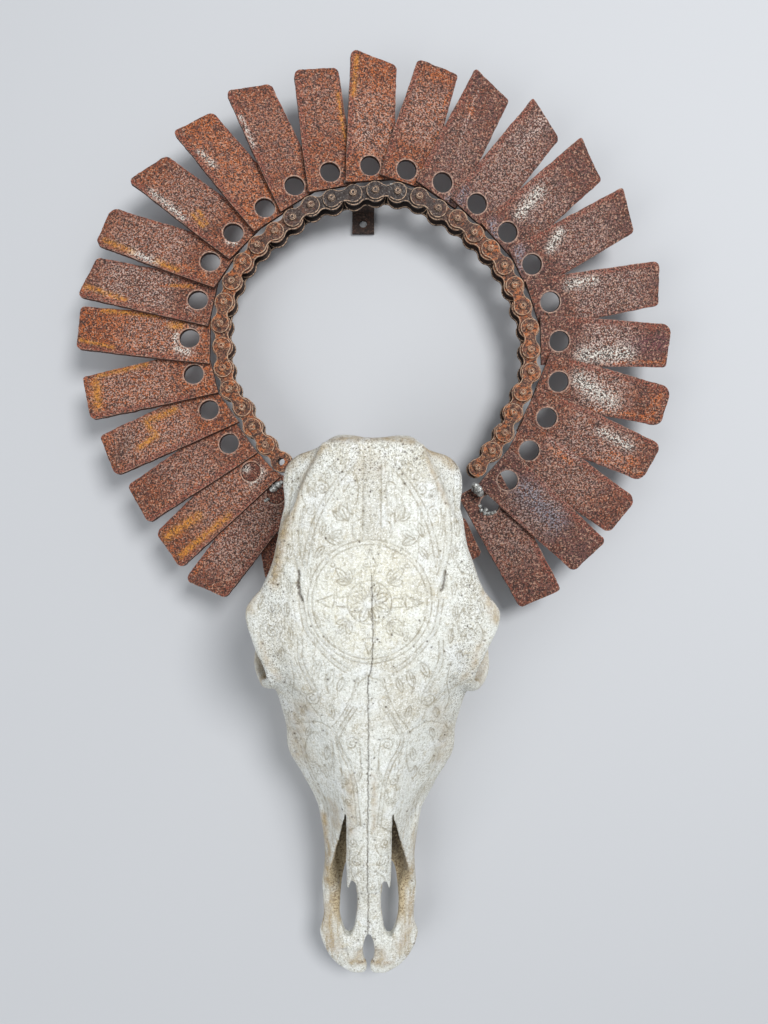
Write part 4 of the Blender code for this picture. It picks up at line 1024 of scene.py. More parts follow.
worn = add(tree, "ShaderNodeMath", {0: worn, 1: given["Wear"]}, operation="MULTIPLY")
facing = add(tree, "GeometryNodeInputNormal")
shift = add(tree, "ShaderNodeVectorMath", {0: facing, "Scale": worn}, operation="SCALE")
whole = add(tree, "GeometryNodeSetPosition", {"Geometry": whole, "Offset": shift})
whole = add(tree, "GeometryNodeSetMaterial", {"Geometry": whole, "Material": given["Steel"]})
add(tree, "NodeGroupOutput", {0: whole})

# Old chain steel under thin rust: orange-brown scale over a darker grey-brown, with a lighter colour on its
# rims that is partly rubbed metal and partly a painted highlight, and with painted shade, almost black, low
# down between the plates. The links at the top of the ring are sooty.
chain_rust = layered_finish("rusted_chain_steel", "#684030", 0.72, [
    ("#4a2c20", 0.80, "noise", 9, 0.45, 0.62, None),
    ("#b1602b", 0.80, "noise", 6, 0.47, 0.63, None),
    ("#c99a72", 0.70, "noise", 1.3, 0.53, 0.64, None),
    ("#322e2d", 0.95, "noise", 9, 0.15, 0.36, "sooty"),
    ("#8d8680", 0.60, "noise", 1.3, 0.53, 0.64, "sooty"),
    ("#22120c", 0.90, "noise", 1.6, 0.48, 0.58, None),
    # Painted shade: almost black low down between the plates
    ("#1a0f0b", 0.92, "plain", 1.0, 0.0, 1.0, "deep"),
    # Rims: partly rubbed metal, partly painted highlight
    ("#cfae92", 0.85, "noise", 1.6, 0.36, 0.58, "rim"),
], [("noise", 1.6, 0.35), ("noise", 6, 0.4)])

inner_item = link_item("inner_link", INNER_PLATE, (-PITCH / 2, PITCH / 2))
outer_item = link_item("outer_link", OUTER_PLATE, (-PITCH / 2, PITCH / 2))
mesh = bpy.data.meshes.new("chain_run")
middles = [(a + b) / 2 for a, b in zip(pin_places, pin_places[1:])]
mesh.from_pydata([(px, py, CHAIN_Z) for px, py in middles], [], [])
store(mesh, "heading", np.radians(LINK_HEADINGS))
store(mesh, "is_outer", [i % 2 for i in range(len(middles))])
store(mesh, "sooty", np.clip(1.6 - np.abs(np.arange(len(middles)) - SOOTY_LINK) / 3.8, 0, 1))
mesh = grown(new_piece("chain_run", mesh), tree, {
    "Inner link": inner_item, "Outer link": outer_item, "Steel": chain_rust, "Wear": CHAIN_WEAR, "Seed": 3},
    "roller_chain")
for item in (inner_item, outer_item):
    bpy.data.objects.remove(item, do_unlink=True)
places = mesh_points(mesh)
# Painted shade makes the steel nearly black down between the plates; the rounded rims are lighter, partly
# rubbed and partly a painted highlight
store(mesh, "deep", np.clip((CHAIN_Z + 5 - places[:, 2]) / 9, 0, 1))
facing = np.abs([face.normal.z for face in mesh.polygons])
rim = mesh.attributes.new("rim", "FLOAT", "FACE")
rim.data.foreach_set("value", ((facing > 0.15) & (facing < 0.97)).astype(np.float32))
chain = finished("roller_chain", mesh, sharp=True)
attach(chain, "root")
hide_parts(*(f"chain_links_{i:02d}" for i in range(17)))

# Blades
# The real blades are hammer mill beaters, sheared from 4 mm steel plate with a 17 mm hole near one end. Their
# tips are worn by use. Each lies with one edge on the next, like a hand of cards, and is welded to the chain
# by its root.
RING_X = -0.8
RING_Y = 140.6
BLADE_WIDTH = 41.5
BLADE_THICK = 4.0
BLADE_LENGTH = 119.0
HOLE_R = 8.5
HOLE_TO_END = 20.0
BLADE_Z = 42.0
BLADE_TILT = 9.6
TIP_AIM_R = 241.0              # where the tip angle is taken
LAST_BLADE_Z = 33.6            # the last blade lies flat, under its neighbour
# Angle and radius of the hole, angle of the tip, and the tip's radius on the high and low side
BLADES = [
    (235.5, 148, 234.5, 247, 255), (224.2, 147, 223.9, 248, 245), (212.2, 147, 212.7, 243, 242),
    (199.2, 150, 201.2, 247, 247), (186.9, 156, 189.0, 251, 252), (175.6, 159, 175.2, 255, 257),
    (163.4, 158, 164.9, 259, 254), (151.0, 161, 154.3, 259, 259), (139.6, 159, 140.8, 257, 249),
    (127.0, 156, 128.1, 256, 252), (115.5, 159, 115.5, 257, 251), (103.7, 160, 101.9, 251, 251),
    (91.2, 161, 90.3, 260, 252), (79.9, 160, 77.8, 254, 254), (68.1, 158, 66.6, 258, 250),
    (55.4, 156, 53.8, 256, 248), (42.1, 155, 41.8, 256, 248), (29.3, 156, 29.4, 256, 249),
    (16.2, 158, 14.0, 256, 252), (3.7, 160, 1.5, 256, 255), (-8.8, 161, -10.4, 257, 257),
    (-20.5, 159, -21.5, 259, 258), (-32.1, 158, -33.1, 258, 257), (-43.5, 159, -43.3, 257, 256),
    (-52.2, 165, -55.2, 261, 258),
]
# Two more lie crossed behind the skull: outer end, heading and height
REAR_BLADES = {
    "rear_blade_left": ((-99.3, -38.3), 190.9, 34.3),
    "rear_blade_right": ((87.0, -16.0), 24.9, 29.0),
}
# How each is worn: millimetres lost at the tip on the high and the low side, and the radius of both corners
WORN = [
    (1.0, 1.5, 5, 5), (1.0, 1.5, 5, 6), (1.0, 1.5, 5, 5), (1.0, 1.0, 6, 4), (1.0, 0.5, 5, 3),
    (1.5, 1.0, 5, 4), (1.0, 2.0, 4, 6), (1.5, 3.0, 6, 8), (1.5, 1.0, 4, 6), (1.5, 1.0, 4, 6),
    (1.5, 0.5, 5, 6), (2.0, 0.5, 7, 5), (1.5, 0.0, 6, 5), (3.0, 1.0, 5, 3), (2.5, 0.5, 3, 3),
    (1.0, 1.0, 2, 6), (1.0, 1.0, 2, 3), (1.5, 1.5, 3, 4), (2.0, 2.0, 6, 4), (2.0, 3.0, 9, 3),
    (3.0, 4.0, 9, 8), (2.5, 3.0, 8, 8), (2.0, 2.0, 8, 6), (1.5, 1.5, 5, 5), (1.0, 1.0, 4, 4),
    (1.5, 1.0, 6, 5), (1.5, 1.0, 6, 5),
]
# How each is weathered: orange, mauve and pale shares, and where along it the pale part begins and ends
FINISH = [
    (0.30, 0.30, 0.60, 0, 90), (0.55, 0.10, 0.45, 0, 80), (0.40, 0.20, 0.45, 10, 80),
    (0.70, 0.05, 0.55, 10, 99), (0.75, 0.00, 0.55, 10, 99), (0.85, 0.00, 0.60, -15, 70),
    (0.30, 0.35, 0.75, 15, 99), (0.40, 0.15, 0.60, 15, 99), (0.45, 0.15, 0.50, 15, 90),
    (0.85, 0.10, 0.20, 10, 90), (0.50, 0.40, 0.25, 10, 90), (0.55, 0.30, 0.30, 30, 99),
    (0.75, 0.10, 0.50, 5, 80), (0.55, 0.20, 0.55, 20, 90), (0.20, 0.65, 0.28, 0, 70),
    (0.15, 0.65, 0.55, 0, 95), (0.15, 0.70, 0.50, 10, 75), (0.15, 0.70, 0.50, 17, 90),
    (0.15, 0.70, 0.62, 14, 99), (0.15, 0.70, 0.90, 16, 78), (0.30, 0.45, 0.85, 14, 72),
    (0.30, 0.55, 0.60, 10, 90), (0.30, 0.60, 0.45, 5, 80), (0.10, 0.75, 0.52, 5, 70),
    (0.15, 0.55, 0.42, 0, 75), (0.30, 0.40, 0.20, 0, 60), (0.30, 0.40, 0.20, 0, 60),
]
# Marks of old paint, rust and scratches on single blades: kind, a line along it and across it, half-width
MARKS = {
    0: [("orange", 30, -17, 90, -17, 3)],
    1: [("ochre", 40, 15, 92, 12, 3), ("ochre", 60, -4, 92, -10, 4), ("white", -6, 6, 4, 8, 5)],
    2: [("orange", 20, 16, 80, 15, 3)],
    3: [("ochre", 28, -13, 55, -14, 3), ("ochre", 55, -12, 52, 2, 2.5), ("ochre", 52, 2, 70, 5, 2.5),
        ("dark", 75, -8, 90, 6, 8)],
    4: [("ochre", 88, -13, 90, 9, 3.5), ("ochre", 40, -18.5, 85, -18, 2), ("orange", 70, 15, 95, 13, 4)],
    5: [("ochre", 9, -11, 17, -10, 3.5), ("white", 0, 12, 9, 10, 3.5), ("white", 11, 5, 12, -2, 2.5),
        ("ochre", 30, -18, 80, -18, 1.8), ("orange", 50, 13, 96, 12, 6), ("slate", 9, -17, 20, -18, 3),
        ("ochre", 66, 16, 96, 12, 1.4)],
    6: [("orange", 45, 16, 98, 15, 4), ("ochre", 60, 14, 96, 10, 2), ("orange", 4, -12, 34, -6, 2),
        ("ochre", 8, -10.5, 26, -8, 1.2), ("pale", 0, 11, 8, 9, 2.5)],
    7: [("white", 44, 17, 66, 16.5, 3.2), ("ochre", 24, 17, 44, 16, 2.5), ("ochre", 66, 16, 92, 14, 2.5),
        ("orange", 0, 14, 22, 12, 4)],
    8: [("white", 42, 17, 78, 15.5, 3.2), ("ochre", 23, 8, 37, 3, 1.5), ("ochre", 24, 12, 38, 9, 1.8),
        ("orange", 80, 6, 95, 0, 6), ("white", -8, 6, -2, 9, 2.5)],
    9: [("white", 56, 11, 72, 13, 2.8), ("orange", 10, -10, 40, -12, 6)],
    10: [("white", 45, 18, 74, 17.5, 1.8), ("orange", 20, -17, 60, -16, 4)],
    11: [("orange", 10, -16, 95, -15, 3), ("ochre", 30, -17, 75, -17, 1.3)],
    12: [("orange", 70, -8, 92, 10, 11), ("ochre", 60, 17, 94, 15, 2.0), ("dark", 43, 5.5, 16, -1.5, 1.4),
         ("pale", 16, 8, 30, 5, 4)],
    13: [("orange", 20, -17, 90, -16, 3), ("orange", 80, 10, 92, -4, 7)],
    14: [("pale", 40, 2, 88, 9, 0.9), ("pale", 26, -2, 60, 8, 0.7), ("orange", 66, 6, 74, 9, 4),
         ("dark", 30, -20.2, 96, -20.2, 1.6), ("slate", -14, -12, -6, -14, 5)],
    15: [("dark", 34, -20.2, 94, -20.2, 1.6), ("slate", -12, 12, 2, 15, 4), ("pale", 60, 0, 94, 2, 9)],
    16: [("white", 18, 5, 44, 8, 5), ("dark", 34, -20.2, 96, -20.2, 1.6), ("slate", -14, 6, -6, 14, 5)],
    17: [("white", 20, 4, 34, 12, 4), ("dark", 40, -20.2, 96, -20.2, 1.4), ("slate", -14, 4, -4, 16, 5)],
    18: [("white", 18, 12, 40, 12, 4.5)],
    19: [("white", 22, -11, 62, -8, 7), ("orange", 30, -18, 96, -15, 2.2), ("plum", 72, 0, 92, 4, 9)],
    20: [("white", 16, 6, 50, -6, 7), ("orange", 26, -18, 95, -14, 3.5), ("orange", 88, -8, 90, 12, 6)],
    21: [("orange", 34, -17, 94, -14, 3), ("white", 48, 8, 76, 6, 4), ("orange", 64, -8, 84, -6, 6)],
    22: [("orange", 12, 14, 34, 12, 5), ("pale", 8, 17, 40, 18, 2.5)],
    23: [("slate", 18, 4, 56, 2, 10), ("pale", 14, 2, 46, 12, 4)],
}
EDGE_SHRINK = 1.1              # keeps the worn tips inside the solids' box
EDGE_WEAR = 1.5                # how far the worn edges wander
EDGE_ROUND = 0.9
PALE_FADE = (14, 22)           # over these lengths the pale part comes and goes
RUBBED_FROM = (14.5, 17)       # from here outwards the high and the low edge are rubbed
ROOT_GAP = 0.5                 # between a root and the chain
ROOT_LEAST = 9                 # from the hole to the root, at least
ROOT_SLANT = 9.0


def blade_blank():
    """A flat blank of beater plate about its hole, in a fine mesh: x runs to the tip."""
    half = BLADE_WIDTH / 2
    reach = BLADE_LENGTH - HOLE_TO_END
    bm = bmesh.new()
    steps = 64
    rings = []
    for share in (0.0, 0.1, 0.3, 0.6, 1.0):
        ring = []
        for i in range(steps):
            a = 2 * math.pi * i / steps
            c, s = math.cos(a), math.sin(a)
            outer = min(half / max(abs(c), 1e-6), half / max(abs(s), 1e-6))
            r = HOLE_R + (outer - HOLE_R) * share
            px, py = r * c, r * s
            if px < -HOLE_R:
                px = -HOLE_R + (px + HOLE_R) * (HOLE_TO_END - HOLE_R) / (half - HOLE_R)
            ring.append(bm.verts.new((px, py, 0)))
        rings.append(ring)
    for low, high in zip(rings, rings[1:]):
        for i in range(steps):
            bm.faces.new((low[i - 1], high[i - 1], high[i], low[i]))
    quarter = steps // 8
    column = [rings[-1][i % steps] for i in range(-quarter, quarter + 1)]
    near_tip = [reach - step for step in (7, 5, 3.4, 2.1, 1.1, 0.4, 0)]
    for px in list(np.linspace(half, reach - 9, 28)[1:]) + near_tip:
        fresh = [bm.verts.new((px, v.co.y, 0)) for v in column]
        for a, b, c, d in zip(column, fresh, fresh[1:], column[1:]):
            bm.faces.new((a, b, c, d))
        column = fresh
    item = new_piece("blade_blank", mesh_of(bm, "blade_blank"))
    wall = item.modifiers.new("plate", "SOLIDIFY")
    wall.thickness = BLADE_THICK
    wall.offset = 0.0
    edge = item.modifiers.new("worn_edges", "BEVEL")
    edge.width = EDGE_ROUND
    edge.segments = 3
    edge.limit_method = "ANGLE"
    fine = item.modifiers.new("fine", "SUBSURF")
    fine.subdivision_type = "SIMPLE"
    fine.levels = fine.render_levels = 1
    return settled_mesh(item, "blade_blank")


tree, given = node_tree("beater", [
    ("Root high", "Float"), ("Root low", "Float"), ("Reach high", "Float"), ("Reach low", "Float"),
    ("Lost high", "Float"), ("Lost low", "Float"), ("Corner high", "Float"), ("Corner low", "Float"),
    ("Wear", "Float"), ("Place", "Vector"), ("Heading", "Float"), ("Tilt", "Float"), ("Steel", "Material")])
TIP_X = BLADE_LENGTH - HOLE_TO_END
spot = add(tree, "ShaderNodeSeparateXYZ", {0: add(tree, "GeometryNodeInputPosition")}).node.outputs
# Along the blade, the parts beyond the hole are stretched to the blade's own reach
side = add(tree, "ShaderNodeMapRange", {
    0: spot["Y"], 1: -BLADE_WIDTH / 2, 2: BLADE_WIDTH / 2, 3: given["Reach low"], 4: given["Reach high"]})
side = add(tree, "ShaderNodeMath", {0: side, 1: HOLE_R}, operation="SUBTRACT")
outward = add(tree, "ShaderNodeMapRange", {0: spot["X"], 1: HOLE_R, 2: TIP_X, 3: 0.0, 4: side})
root = add(tree, "ShaderNodeMapRange", {
    0: spot["Y"], 1: -BLADE_WIDTH / 2, 2: BLADE_WIDTH / 2, 3: given["Root low"], 4: given["Root high"]})
root = add(tree, "ShaderNodeMath", {0: root, 1: HOLE_R}, operation="SUBTRACT")
inward = add(tree, "ShaderNodeMapRange", {0: spot["X"], 1: -HOLE_R, 2: -HOLE_TO_END, 3: 0.0, 4: root})
middle = add(tree, "ShaderNodeClamp", {0: spot["X"], 1: -HOLE_R, 2: HOLE_R})
along = add(tree, "ShaderNodeMath", {0: middle, 1: outward}, operation="ADD")
along = add(tree, "ShaderNodeMath", {0: along, 1: inward}, operation="SUBTRACT")
# Across it, both sides lose width towards the tip, and the corners are rounded
is_high = add(tree, "ShaderNodeMath", {0: spot["Y"], 1: 0.0}, operation="GREATER_THAN")
lost = add(tree, "ShaderNodeMix", {0: is_high, 2: given["Lost low"], 3: given["Lost high"]})
corner = add(tree, "ShaderNodeMix", {0: is_high, 2: given["Corner low"], 3: given["Corner high"]})
lost = add(tree, "ShaderNodeMapRange", {0: spot["X"], 1: HOLE_R, 2: TIP_X, 3: 0.0, 4: lost},
           interpolation_type="SMOOTHSTEP")
from_tip = add(tree, "ShaderNodeMath", {0: TIP_X, 1: spot["X"]}, operation="SUBTRACT")
into = add(tree, "ShaderNodeMath", {0: corner, 1: from_tip}, operation="SUBTRACT")
into = add(tree, "ShaderNodeMath", {0: into, 1: 0.0}, operation="MAXIMUM")
into = add(tree, "ShaderNodeMath", {0: into, 1: into}, operation="MULTIPLY")
left = add(tree, "ShaderNodeMath", {0: corner, 1: corner}, operation="MULTIPLY")
left = add(tree, "ShaderNodeMath", {0: left, 1: into}, operation="SUBTRACT")
left = add(tree, "ShaderNodeMath", {0: left}, operation="SQRT")
rounded = add(tree, "ShaderNodeMath", {0: corner, 1: left}, operation="SUBTRACT")
narrow = add(tree, "ShaderNodeMath", {0: rounded, 1: lost}, operation="ADD")
narrow = add(tree, "ShaderNodeMath", {0: narrow, 1: -2 / BLADE_WIDTH, 2: 1.0}, operation="MULTIPLY_ADD")
across = add(tree, "ShaderNodeMath", {0: spot["Y"], 1: narrow}, operation="MULTIPLY")
shaped = add(tree, "ShaderNodeCombineXYZ", {"X": along, "Y": across, "Z": spot["Z"]})
# The plate wanders in and out as steel does that rust has eaten, more so towards the tip
rough = add(tree, "ShaderNodeMapRange", {0: spot["X"], 1: 0.0, 2: 60.0, 3: 0.3, 4: 1.0})
whole = add(tree, "GeometryNodeStoreNamedAttribute", {
    "Geometry": given["Geometry"], "Name": "rough", "Value": rough}, data_type="FLOAT", domain="POINT")
whole = add(tree, "GeometryNodeSetPosition", {"Geometry": whole, "Position": shaped})
turn = add(tree, "ShaderNodeCombineXYZ", {"X": given["Tilt"], "Z": given["Heading"]})
whole = add(tree, "GeometryNodeTransform", {
    "Geometry": whole, "Translation": given["Place"], "Rotation": turn})
rough = add(tree, "GeometryNodeInputNamedAttribute", {"Name": "rough"}, data_type="FLOAT")
shift = (0.0, 0.0, 0.0)
for scale, share in ((0.10, 1.0), (0.5, 0.45)):
    bite = add(tree, "ShaderNodeTexNoise", {"Scale": scale, "Detail": 2.0}, out="Color")
    bite = add(tree, "ShaderNodeVectorMath", {0: bite, 1: (0.5, 0.5, 0.5)}, operation="SUBTRACT")
    size = add(tree, "ShaderNodeMath", {0: given["Wear"], 1: share}, operation="MULTIPLY")
    size = add(tree, "ShaderNodeMath", {0: size, 1: rough}, operation="MULTIPLY")
    bite = add(tree, "ShaderNodeVectorMath", {0: bite, "Scale": size}, operation="SCALE")
    shift = add(tree, "ShaderNodeVectorMath", {0: bite, 1: shift}, operation="ADD")
whole = add(tree, "GeometryNodeSetPosition", {"Geometry": whole, "Offset": shift})
whole = add(tree, "GeometryNodeSetMaterial", {"Geometry": whole, "Material": given["Steel"]})
add(tree, "NodeGroupOutput", {0: whole})

# Old mild steel plate, rusted through its mill scale: red-brown with dark pits and light grains of about
# 1 mm, orange or mauve in places, pinkish grey where it is pale, with rests of ochre and white paint. Its
# edges are lighter, partly rubbed metal and partly a painted highlight, and its hole and side walls are
# painted near black as painted shade.
blade_rust = layered_finish("rusted_beater_steel", "#6a392a", 0.82, [
    ("#4b2b24", 0.75, "noise", 26, 0.50, 0.68, None),
    ("#8d4f36", 0.60, "noise", 11, 0.50, 0.68, None),
    ("#553f43", 0.90, "noise", 11, 0.30, 0.60, "mauve"),
    ("#b9622b", 0.95, "noise", 4.5, 0.36, 0.60, "orange"),
    ("#6a3a44", 0.80, "noise", 4.5, 0.25, 0.60, "plum"),
    ("#864433", 0.75, "noise", 4.5, 0.20, 0.50, "edge"),
    ("#3a1d18", 0.85, "noise", 4.5, 0.30, 0.60, "dark"),
    ("#cfa68c", 0.60, "noise", 1.8, 0.53, 0.61, None),
    ("#cbb3a8", 0.95, "noise", 1.5, 0.48, 0.56, "pale"),
    ("#8b8c98", 0.85, "noise", 1.5, 0.42, 0.56, "slate"),
    ("#cc8428", 0.95, "noise", 2.6, 0.38, 0.54, "ochre"),
    ("#e2ded4", 0.95, "noise", 1.5, 0.40, 0.54, "white"),
    ("#22100c", 0.95, "noise", 1.3, 0.47, 0.56, None),
    ("#cf8a30", 0.65, "noise", 1.5, 0.46, 0.60, "ochre"),
    # Rims: partly rubbed metal, partly painted highlight
    ("#c2a493", 0.75, "noise", 1.8, 0.30, 0.52, "rim"),
    # Painted shade: near black on the hole's wall and the blade's side walls
    ("#24130f", 0.90, "plain", 1.0, 0.0, 1.0, "painted_wall_shade"),
], [("noise", 1.7, 0.45), ("noise", 4.5, 0.5), ("noise", 26, 0.6)])
blank = blade_blank()
blank_places, blank_normals = mesh_points(blank), mesh_points(blank, "normal")


def ring_place(angle, radius):
    turn = math.radians(angle)
    return np.array((RING_X + radius * math.cos(turn), RING_Y + radius * math.sin(turn)))


chain_edge = [(place, INNER_PLATE[0]) for place in pin_places]
for before, after in zip(pin_places, pin_places[1:]):
    chain_edge += [((before + after) / 2, PLATE_HALF[0]), (0.25 * before + 0.75 * after, PLATE_HALF[1]),
                   (0.75 * before + 0.25 * after, PLATE_HALF[1])]


def root_clear_of_chain(hole, axis):
    """How far the root's high and low corner may lie from the hole before the edge between meets a link."""
    side = np.array((-axis[1], axis[0]))
    reach = np.arange(ROOT_LEAST, HOLE_TO_END + 0.1, 0.25)
    high, low = np.meshgrid(reach, reach)
    free = np.abs(high - low) < ROOT_SLANT
    for place, radius in chain_edge:
        inward, across = (hole - place) @ axis, (place - hole) @ side
        if inward > 0 and abs(across) < BLADE_WIDTH / 2 + radius:
            from_low = across + BLADE_WIDTH / 2
            share = np.clip((from_low * BLADE_WIDTH + (inward - low) * (high - low))
                            / (BLADE_WIDTH**2 + (high - low)**2), 0, 1)
            gap = np.hypot(from_low - share * BLADE_WIDTH, inward - low - share * (high - low))
            free &= (gap > radius + ROOT_GAP) & (inward > low + share * (high - low))
    best = np.argmax(np.where(free, high + low, 0))
    return float(high.flat[best]), float(low.flat[best])


def make_blade(piece_name, node, hole, z, heading, tilt, roots, reaches, number):
    """One blade: the blank brought to its shape and place, with its wear, its rust and the marks on it."""
    lost_high, lost_low, corner_high, corner_low = (float(value) for value in WORN[number])
    mesh = grown(new_piece(piece_name, blank.copy()), tree, {
        "Root high": roots[0], "Root low": roots[1],
        "Reach high": reaches[0] - EDGE_SHRINK, "Reach low": reaches[1] - EDGE_SHRINK,
        "Lost high": lost_high, "Lost low": lost_low, "Corner high": corner_high, "Corner low": corner_low,
        "Wear": EDGE_WEAR, "Place": (float(hole[0]), float(hole[1]), z), "Heading": float(heading),
        "Tilt": math.radians(tilt), "Steel": blade_rust}, piece_name)
    x, y = blank_places[:, 0], blank_places[:, 1]
    orange, mauve, pale, begins, ends = FINISH[number]
    span = np.clip((x - begins) / PALE_FADE[0], 0, 1) * np.clip((ends - x) / PALE_FADE[1], 0, 1)
    edge = np.clip((np.where(y > 0, y - RUBBED_FROM[0], -y - RUBBED_FROM[1]) / 2.5), 0, 1) * (x > 4)
    kept = {"orange": orange * np.ones(len(x)), "mauve": mauve * np.ones(len(x)), "edge": edge,
            "pale": pale * span * (1 - 0.7 * edge)}
    for kind in ("ochre", "white", "dark", "plum", "slate"):
        kept[kind] = np.zeros(len(x))
    for kind, x0, y0, x1, y1, width in MARKS.get(number, []):
        dx, dy = x1 - x0, y1 - y0
        along = np.clip(((x - x0) * dx + (y - y0) * dy) / (dx * dx + dy * dy), 0, 1)
        gap = np.hypot(x - x0 - along * dx, y - y0 - along * dy)
        kept[kind] = np.maximum(kept[kind], np.exp(-(gap / width)**2))
    # The rounded edges and a ring round the hole are lighter, partly rubbed metal and partly a painted
    # highlight; the hole's wall and the side walls are painted near black as painted shade
    kept["rim"] = np.clip(1.2 - np.abs(np.abs(blank_normals[:, 2]) - 0.65) / 0.3, 0, 1)
    from_hole = np.hypot(x, y) - HOLE_R
    kept["rim"] = np.maximum(kept["rim"], np.clip(1.2 - np.abs(from_hole - 0.6) / 0.6, 0, 1))
    # Painted shade on the hole's wall and, a little weaker, on the steep side walls
    kept["painted_wall_shade"] = np.maximum(from_hole < 0.1, 0.75 * (np.abs(blank_normals[:, 2]) < 0.3))
    for kind, values in kept.items():
        store(mesh, kind, values)
    piece = finished(piece_name, mesh)
    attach(piece, "root")
    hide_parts(node)


frames = []
for number, (hole_angle, hole_r, tip_angle, high, low) in enumerate(BLADES):
    hole = ring_place(hole_angle, hole_r)
    axis = ring_place(tip_angle, TIP_AIM_R) - hole
    axis /= np.hypot(*axis)
    z, tilt = (LAST_BLADE_Z, 0.0) if number == len(BLADES) - 1 else (BLADE_Z, BLADE_TILT)
    heading = math.atan2(axis[1], axis[0])
    make_blade(f"beater_{number:02d}", f"blade_{number:02d}", hole, z, heading, tilt,
               root_clear_of_chain(hole, axis), (high - hole_r, low - hole_r), number)
    frames.append(Matrix.Translation((*hole, z)) @ Matrix.Rotation(heading, 4, "Z")
                  @ Matrix.Rotation(math.radians(tilt), 4, "X"))
for number, (node, (end, heading, z)) in enumerate(REAR_BLADES.items(), len(BLADES)):
    turn = math.radians(heading)
    hole = np.array(end) - TIP_X * np.array((math.cos(turn), math.sin(turn)))
    make_blade(node.replace("blade", "beater"), node, hole, z, turn, 0.0, (HOLE_TO_END, HOLE_TO_END),
               (TIP_X, TIP_X), number)
bpy.data.meshes.remove(blank)

# Plugs
# The holes of the two blades beside the skull on the left are shut: a slug of the same steel sits in each,
# just below the blade's face, and is rusted fast in it.
PLUGGED = (0, 1)
PLUG_PROFILE = [(0.05, -1.2), (8.2, -1.2), (8.2, 1.0), (7.8, 1.4), (6.5, 1.5), (5, 1.5), (3.5, 1.5), (2, 1.5),
                (0.05, 1.5)]
bm = bmesh.new()
for number in PLUGGED:
    before = len(bm.verts)
    add_turning(bm, 0, PLUG_PROFILE, 48)
    bm.verts.ensure_lookup_table()
    bmesh.ops.transform(bm, matrix=frames[number], verts=bm.verts[before:])
mesh = mesh_of(bm, "hole_plugs")
mesh.materials.append(blade_rust)
places = mesh_points(mesh)
middle = np.array(frames[1].translation)
store(mesh, "white", np.exp(-(((places[:, 0] - middle[0] + 5)**2 + (places[:, 1] - middle[1] - 3)**2) / 14)))
plugs = finished("hole_plugs", mesh)
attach(plugs, "root")

# Welds
# Short beads of arc weld tack the blades to the chain and to each other: lumpy, silvery drops of melted rod
# that have hardly rusted.
WELD_LUMPS = 2.8
# Place on the part and radius
WELDS = [
    (-88.0, 23.0, 44.2, 2.6), (-85.6, 24.8, 44.8, 3.2), (-82.8, 27.0, 44.8, 3.1), (-80.6, 28.9, 44.4, 2.2),
    (-92.2, 14.3, 43.6, 1.8), (-94.4, 13.3, 43.4, 1.3), (-95.0, -21.9, 36.5, 2.5), (-97.6, -23.0, 36.3, 1.7),
    (-88.9, -17.3, 36.6, 1.7), (86.8, 25.6, 44.0, 3.4), (88.6, 22.6, 44.2, 4.1), (90.6, 20.0, 43.4, 3.3),
    (85.8, 23.2, 43.2, 2.6), (91.6, 8.8, 35.8, 1.6), (92.8, 5.2, 35.8, 1.9), (95.6, 3.0, 35.8, 2.0),
    (98.8, 2.2, 35.8, 1.9), (102.0, 2.6, 35.8, 1.7), (104.6, 3.8, 35.6, 1.3), (96.8, 5.6, 34.6, 1.9),
    (14.0, 285.8, 41.8, 1.8), (-24.6, 288.2, 42.5, 1.8), (-21.4, 290.0, 42.2, 1.5),
]
tree, given = node_tree("weld_beads", [("Lumps", "Float"), ("Steel", "Material")])
size = add(tree, "GeometryNodeInputNamedAttribute", {"Name": "size"}, data_type="FLOAT")
drop = add(tree, "GeometryNodeMeshIcoSphere", {"Radius": 1.0, "Subdivisions": 4})
drops = add(tree, "GeometryNodeInstanceOnPoints", {
    "Points": given["Geometry"], "Instance": drop, "Scale": size})
whole = add(tree, "GeometryNodeRealizeInstances", {0: drops})
lumps = add(tree, "ShaderNodeTexNoise", {"Scale": 0.5, "Detail": 5.0}, out="Color")
lumps = add(tree, "ShaderNodeVectorMath", {0: lumps, 1: (0.5, 0.5, 0.5)}, operation="SUBTRACT")
lumps = add(tree, "ShaderNodeVectorMath", {0: lumps, "Scale": given["Lumps"]}, operation="SCALE")
whole = add(tree, "GeometryNodeSetPosition", {"Geometry": whole, "Offset": lumps})
whole = add(tree, "GeometryNodeSetMaterial", {"Geometry": whole, "Material": given["Steel"]})
add(tree, "NodeGroupOutput", {0: whole})
# Bare weld metal: grey and half bright on its lumps, with soot and first rust in its hollows
weld_metal = layered_finish("bare_weld_steel", "#a7a9a6", 0.42, [
    ("#4a423e", 0.85, "noise", 2.4, 0.50, 0.62, None),
    ("#e9ebe8", 0.80, "noise", 1.5, 0.53, 0.63, None),
    ("#8a5a3c", 0.50, "noise", 1.3, 0.56, 0.68, None),
], [("noise", 1.5, 0.3)])
weld_metal.node_tree.nodes["Principled BSDF"].inputs["Metallic"].default_value = 0.6
mesh = bpy.data.meshes.new("weld_beads")
mesh.from_pydata([row[:3] for row in WELDS], [], [])
store(mesh, "size", [row[3] for row in WELDS])
mesh = grown(new_piece("weld_beads", mesh), tree, {"Lumps": WELD_LUMPS, "Steel": weld_metal}, "weld_beads")
welds = finished("weld_beads", mesh)
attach(welds, "root")

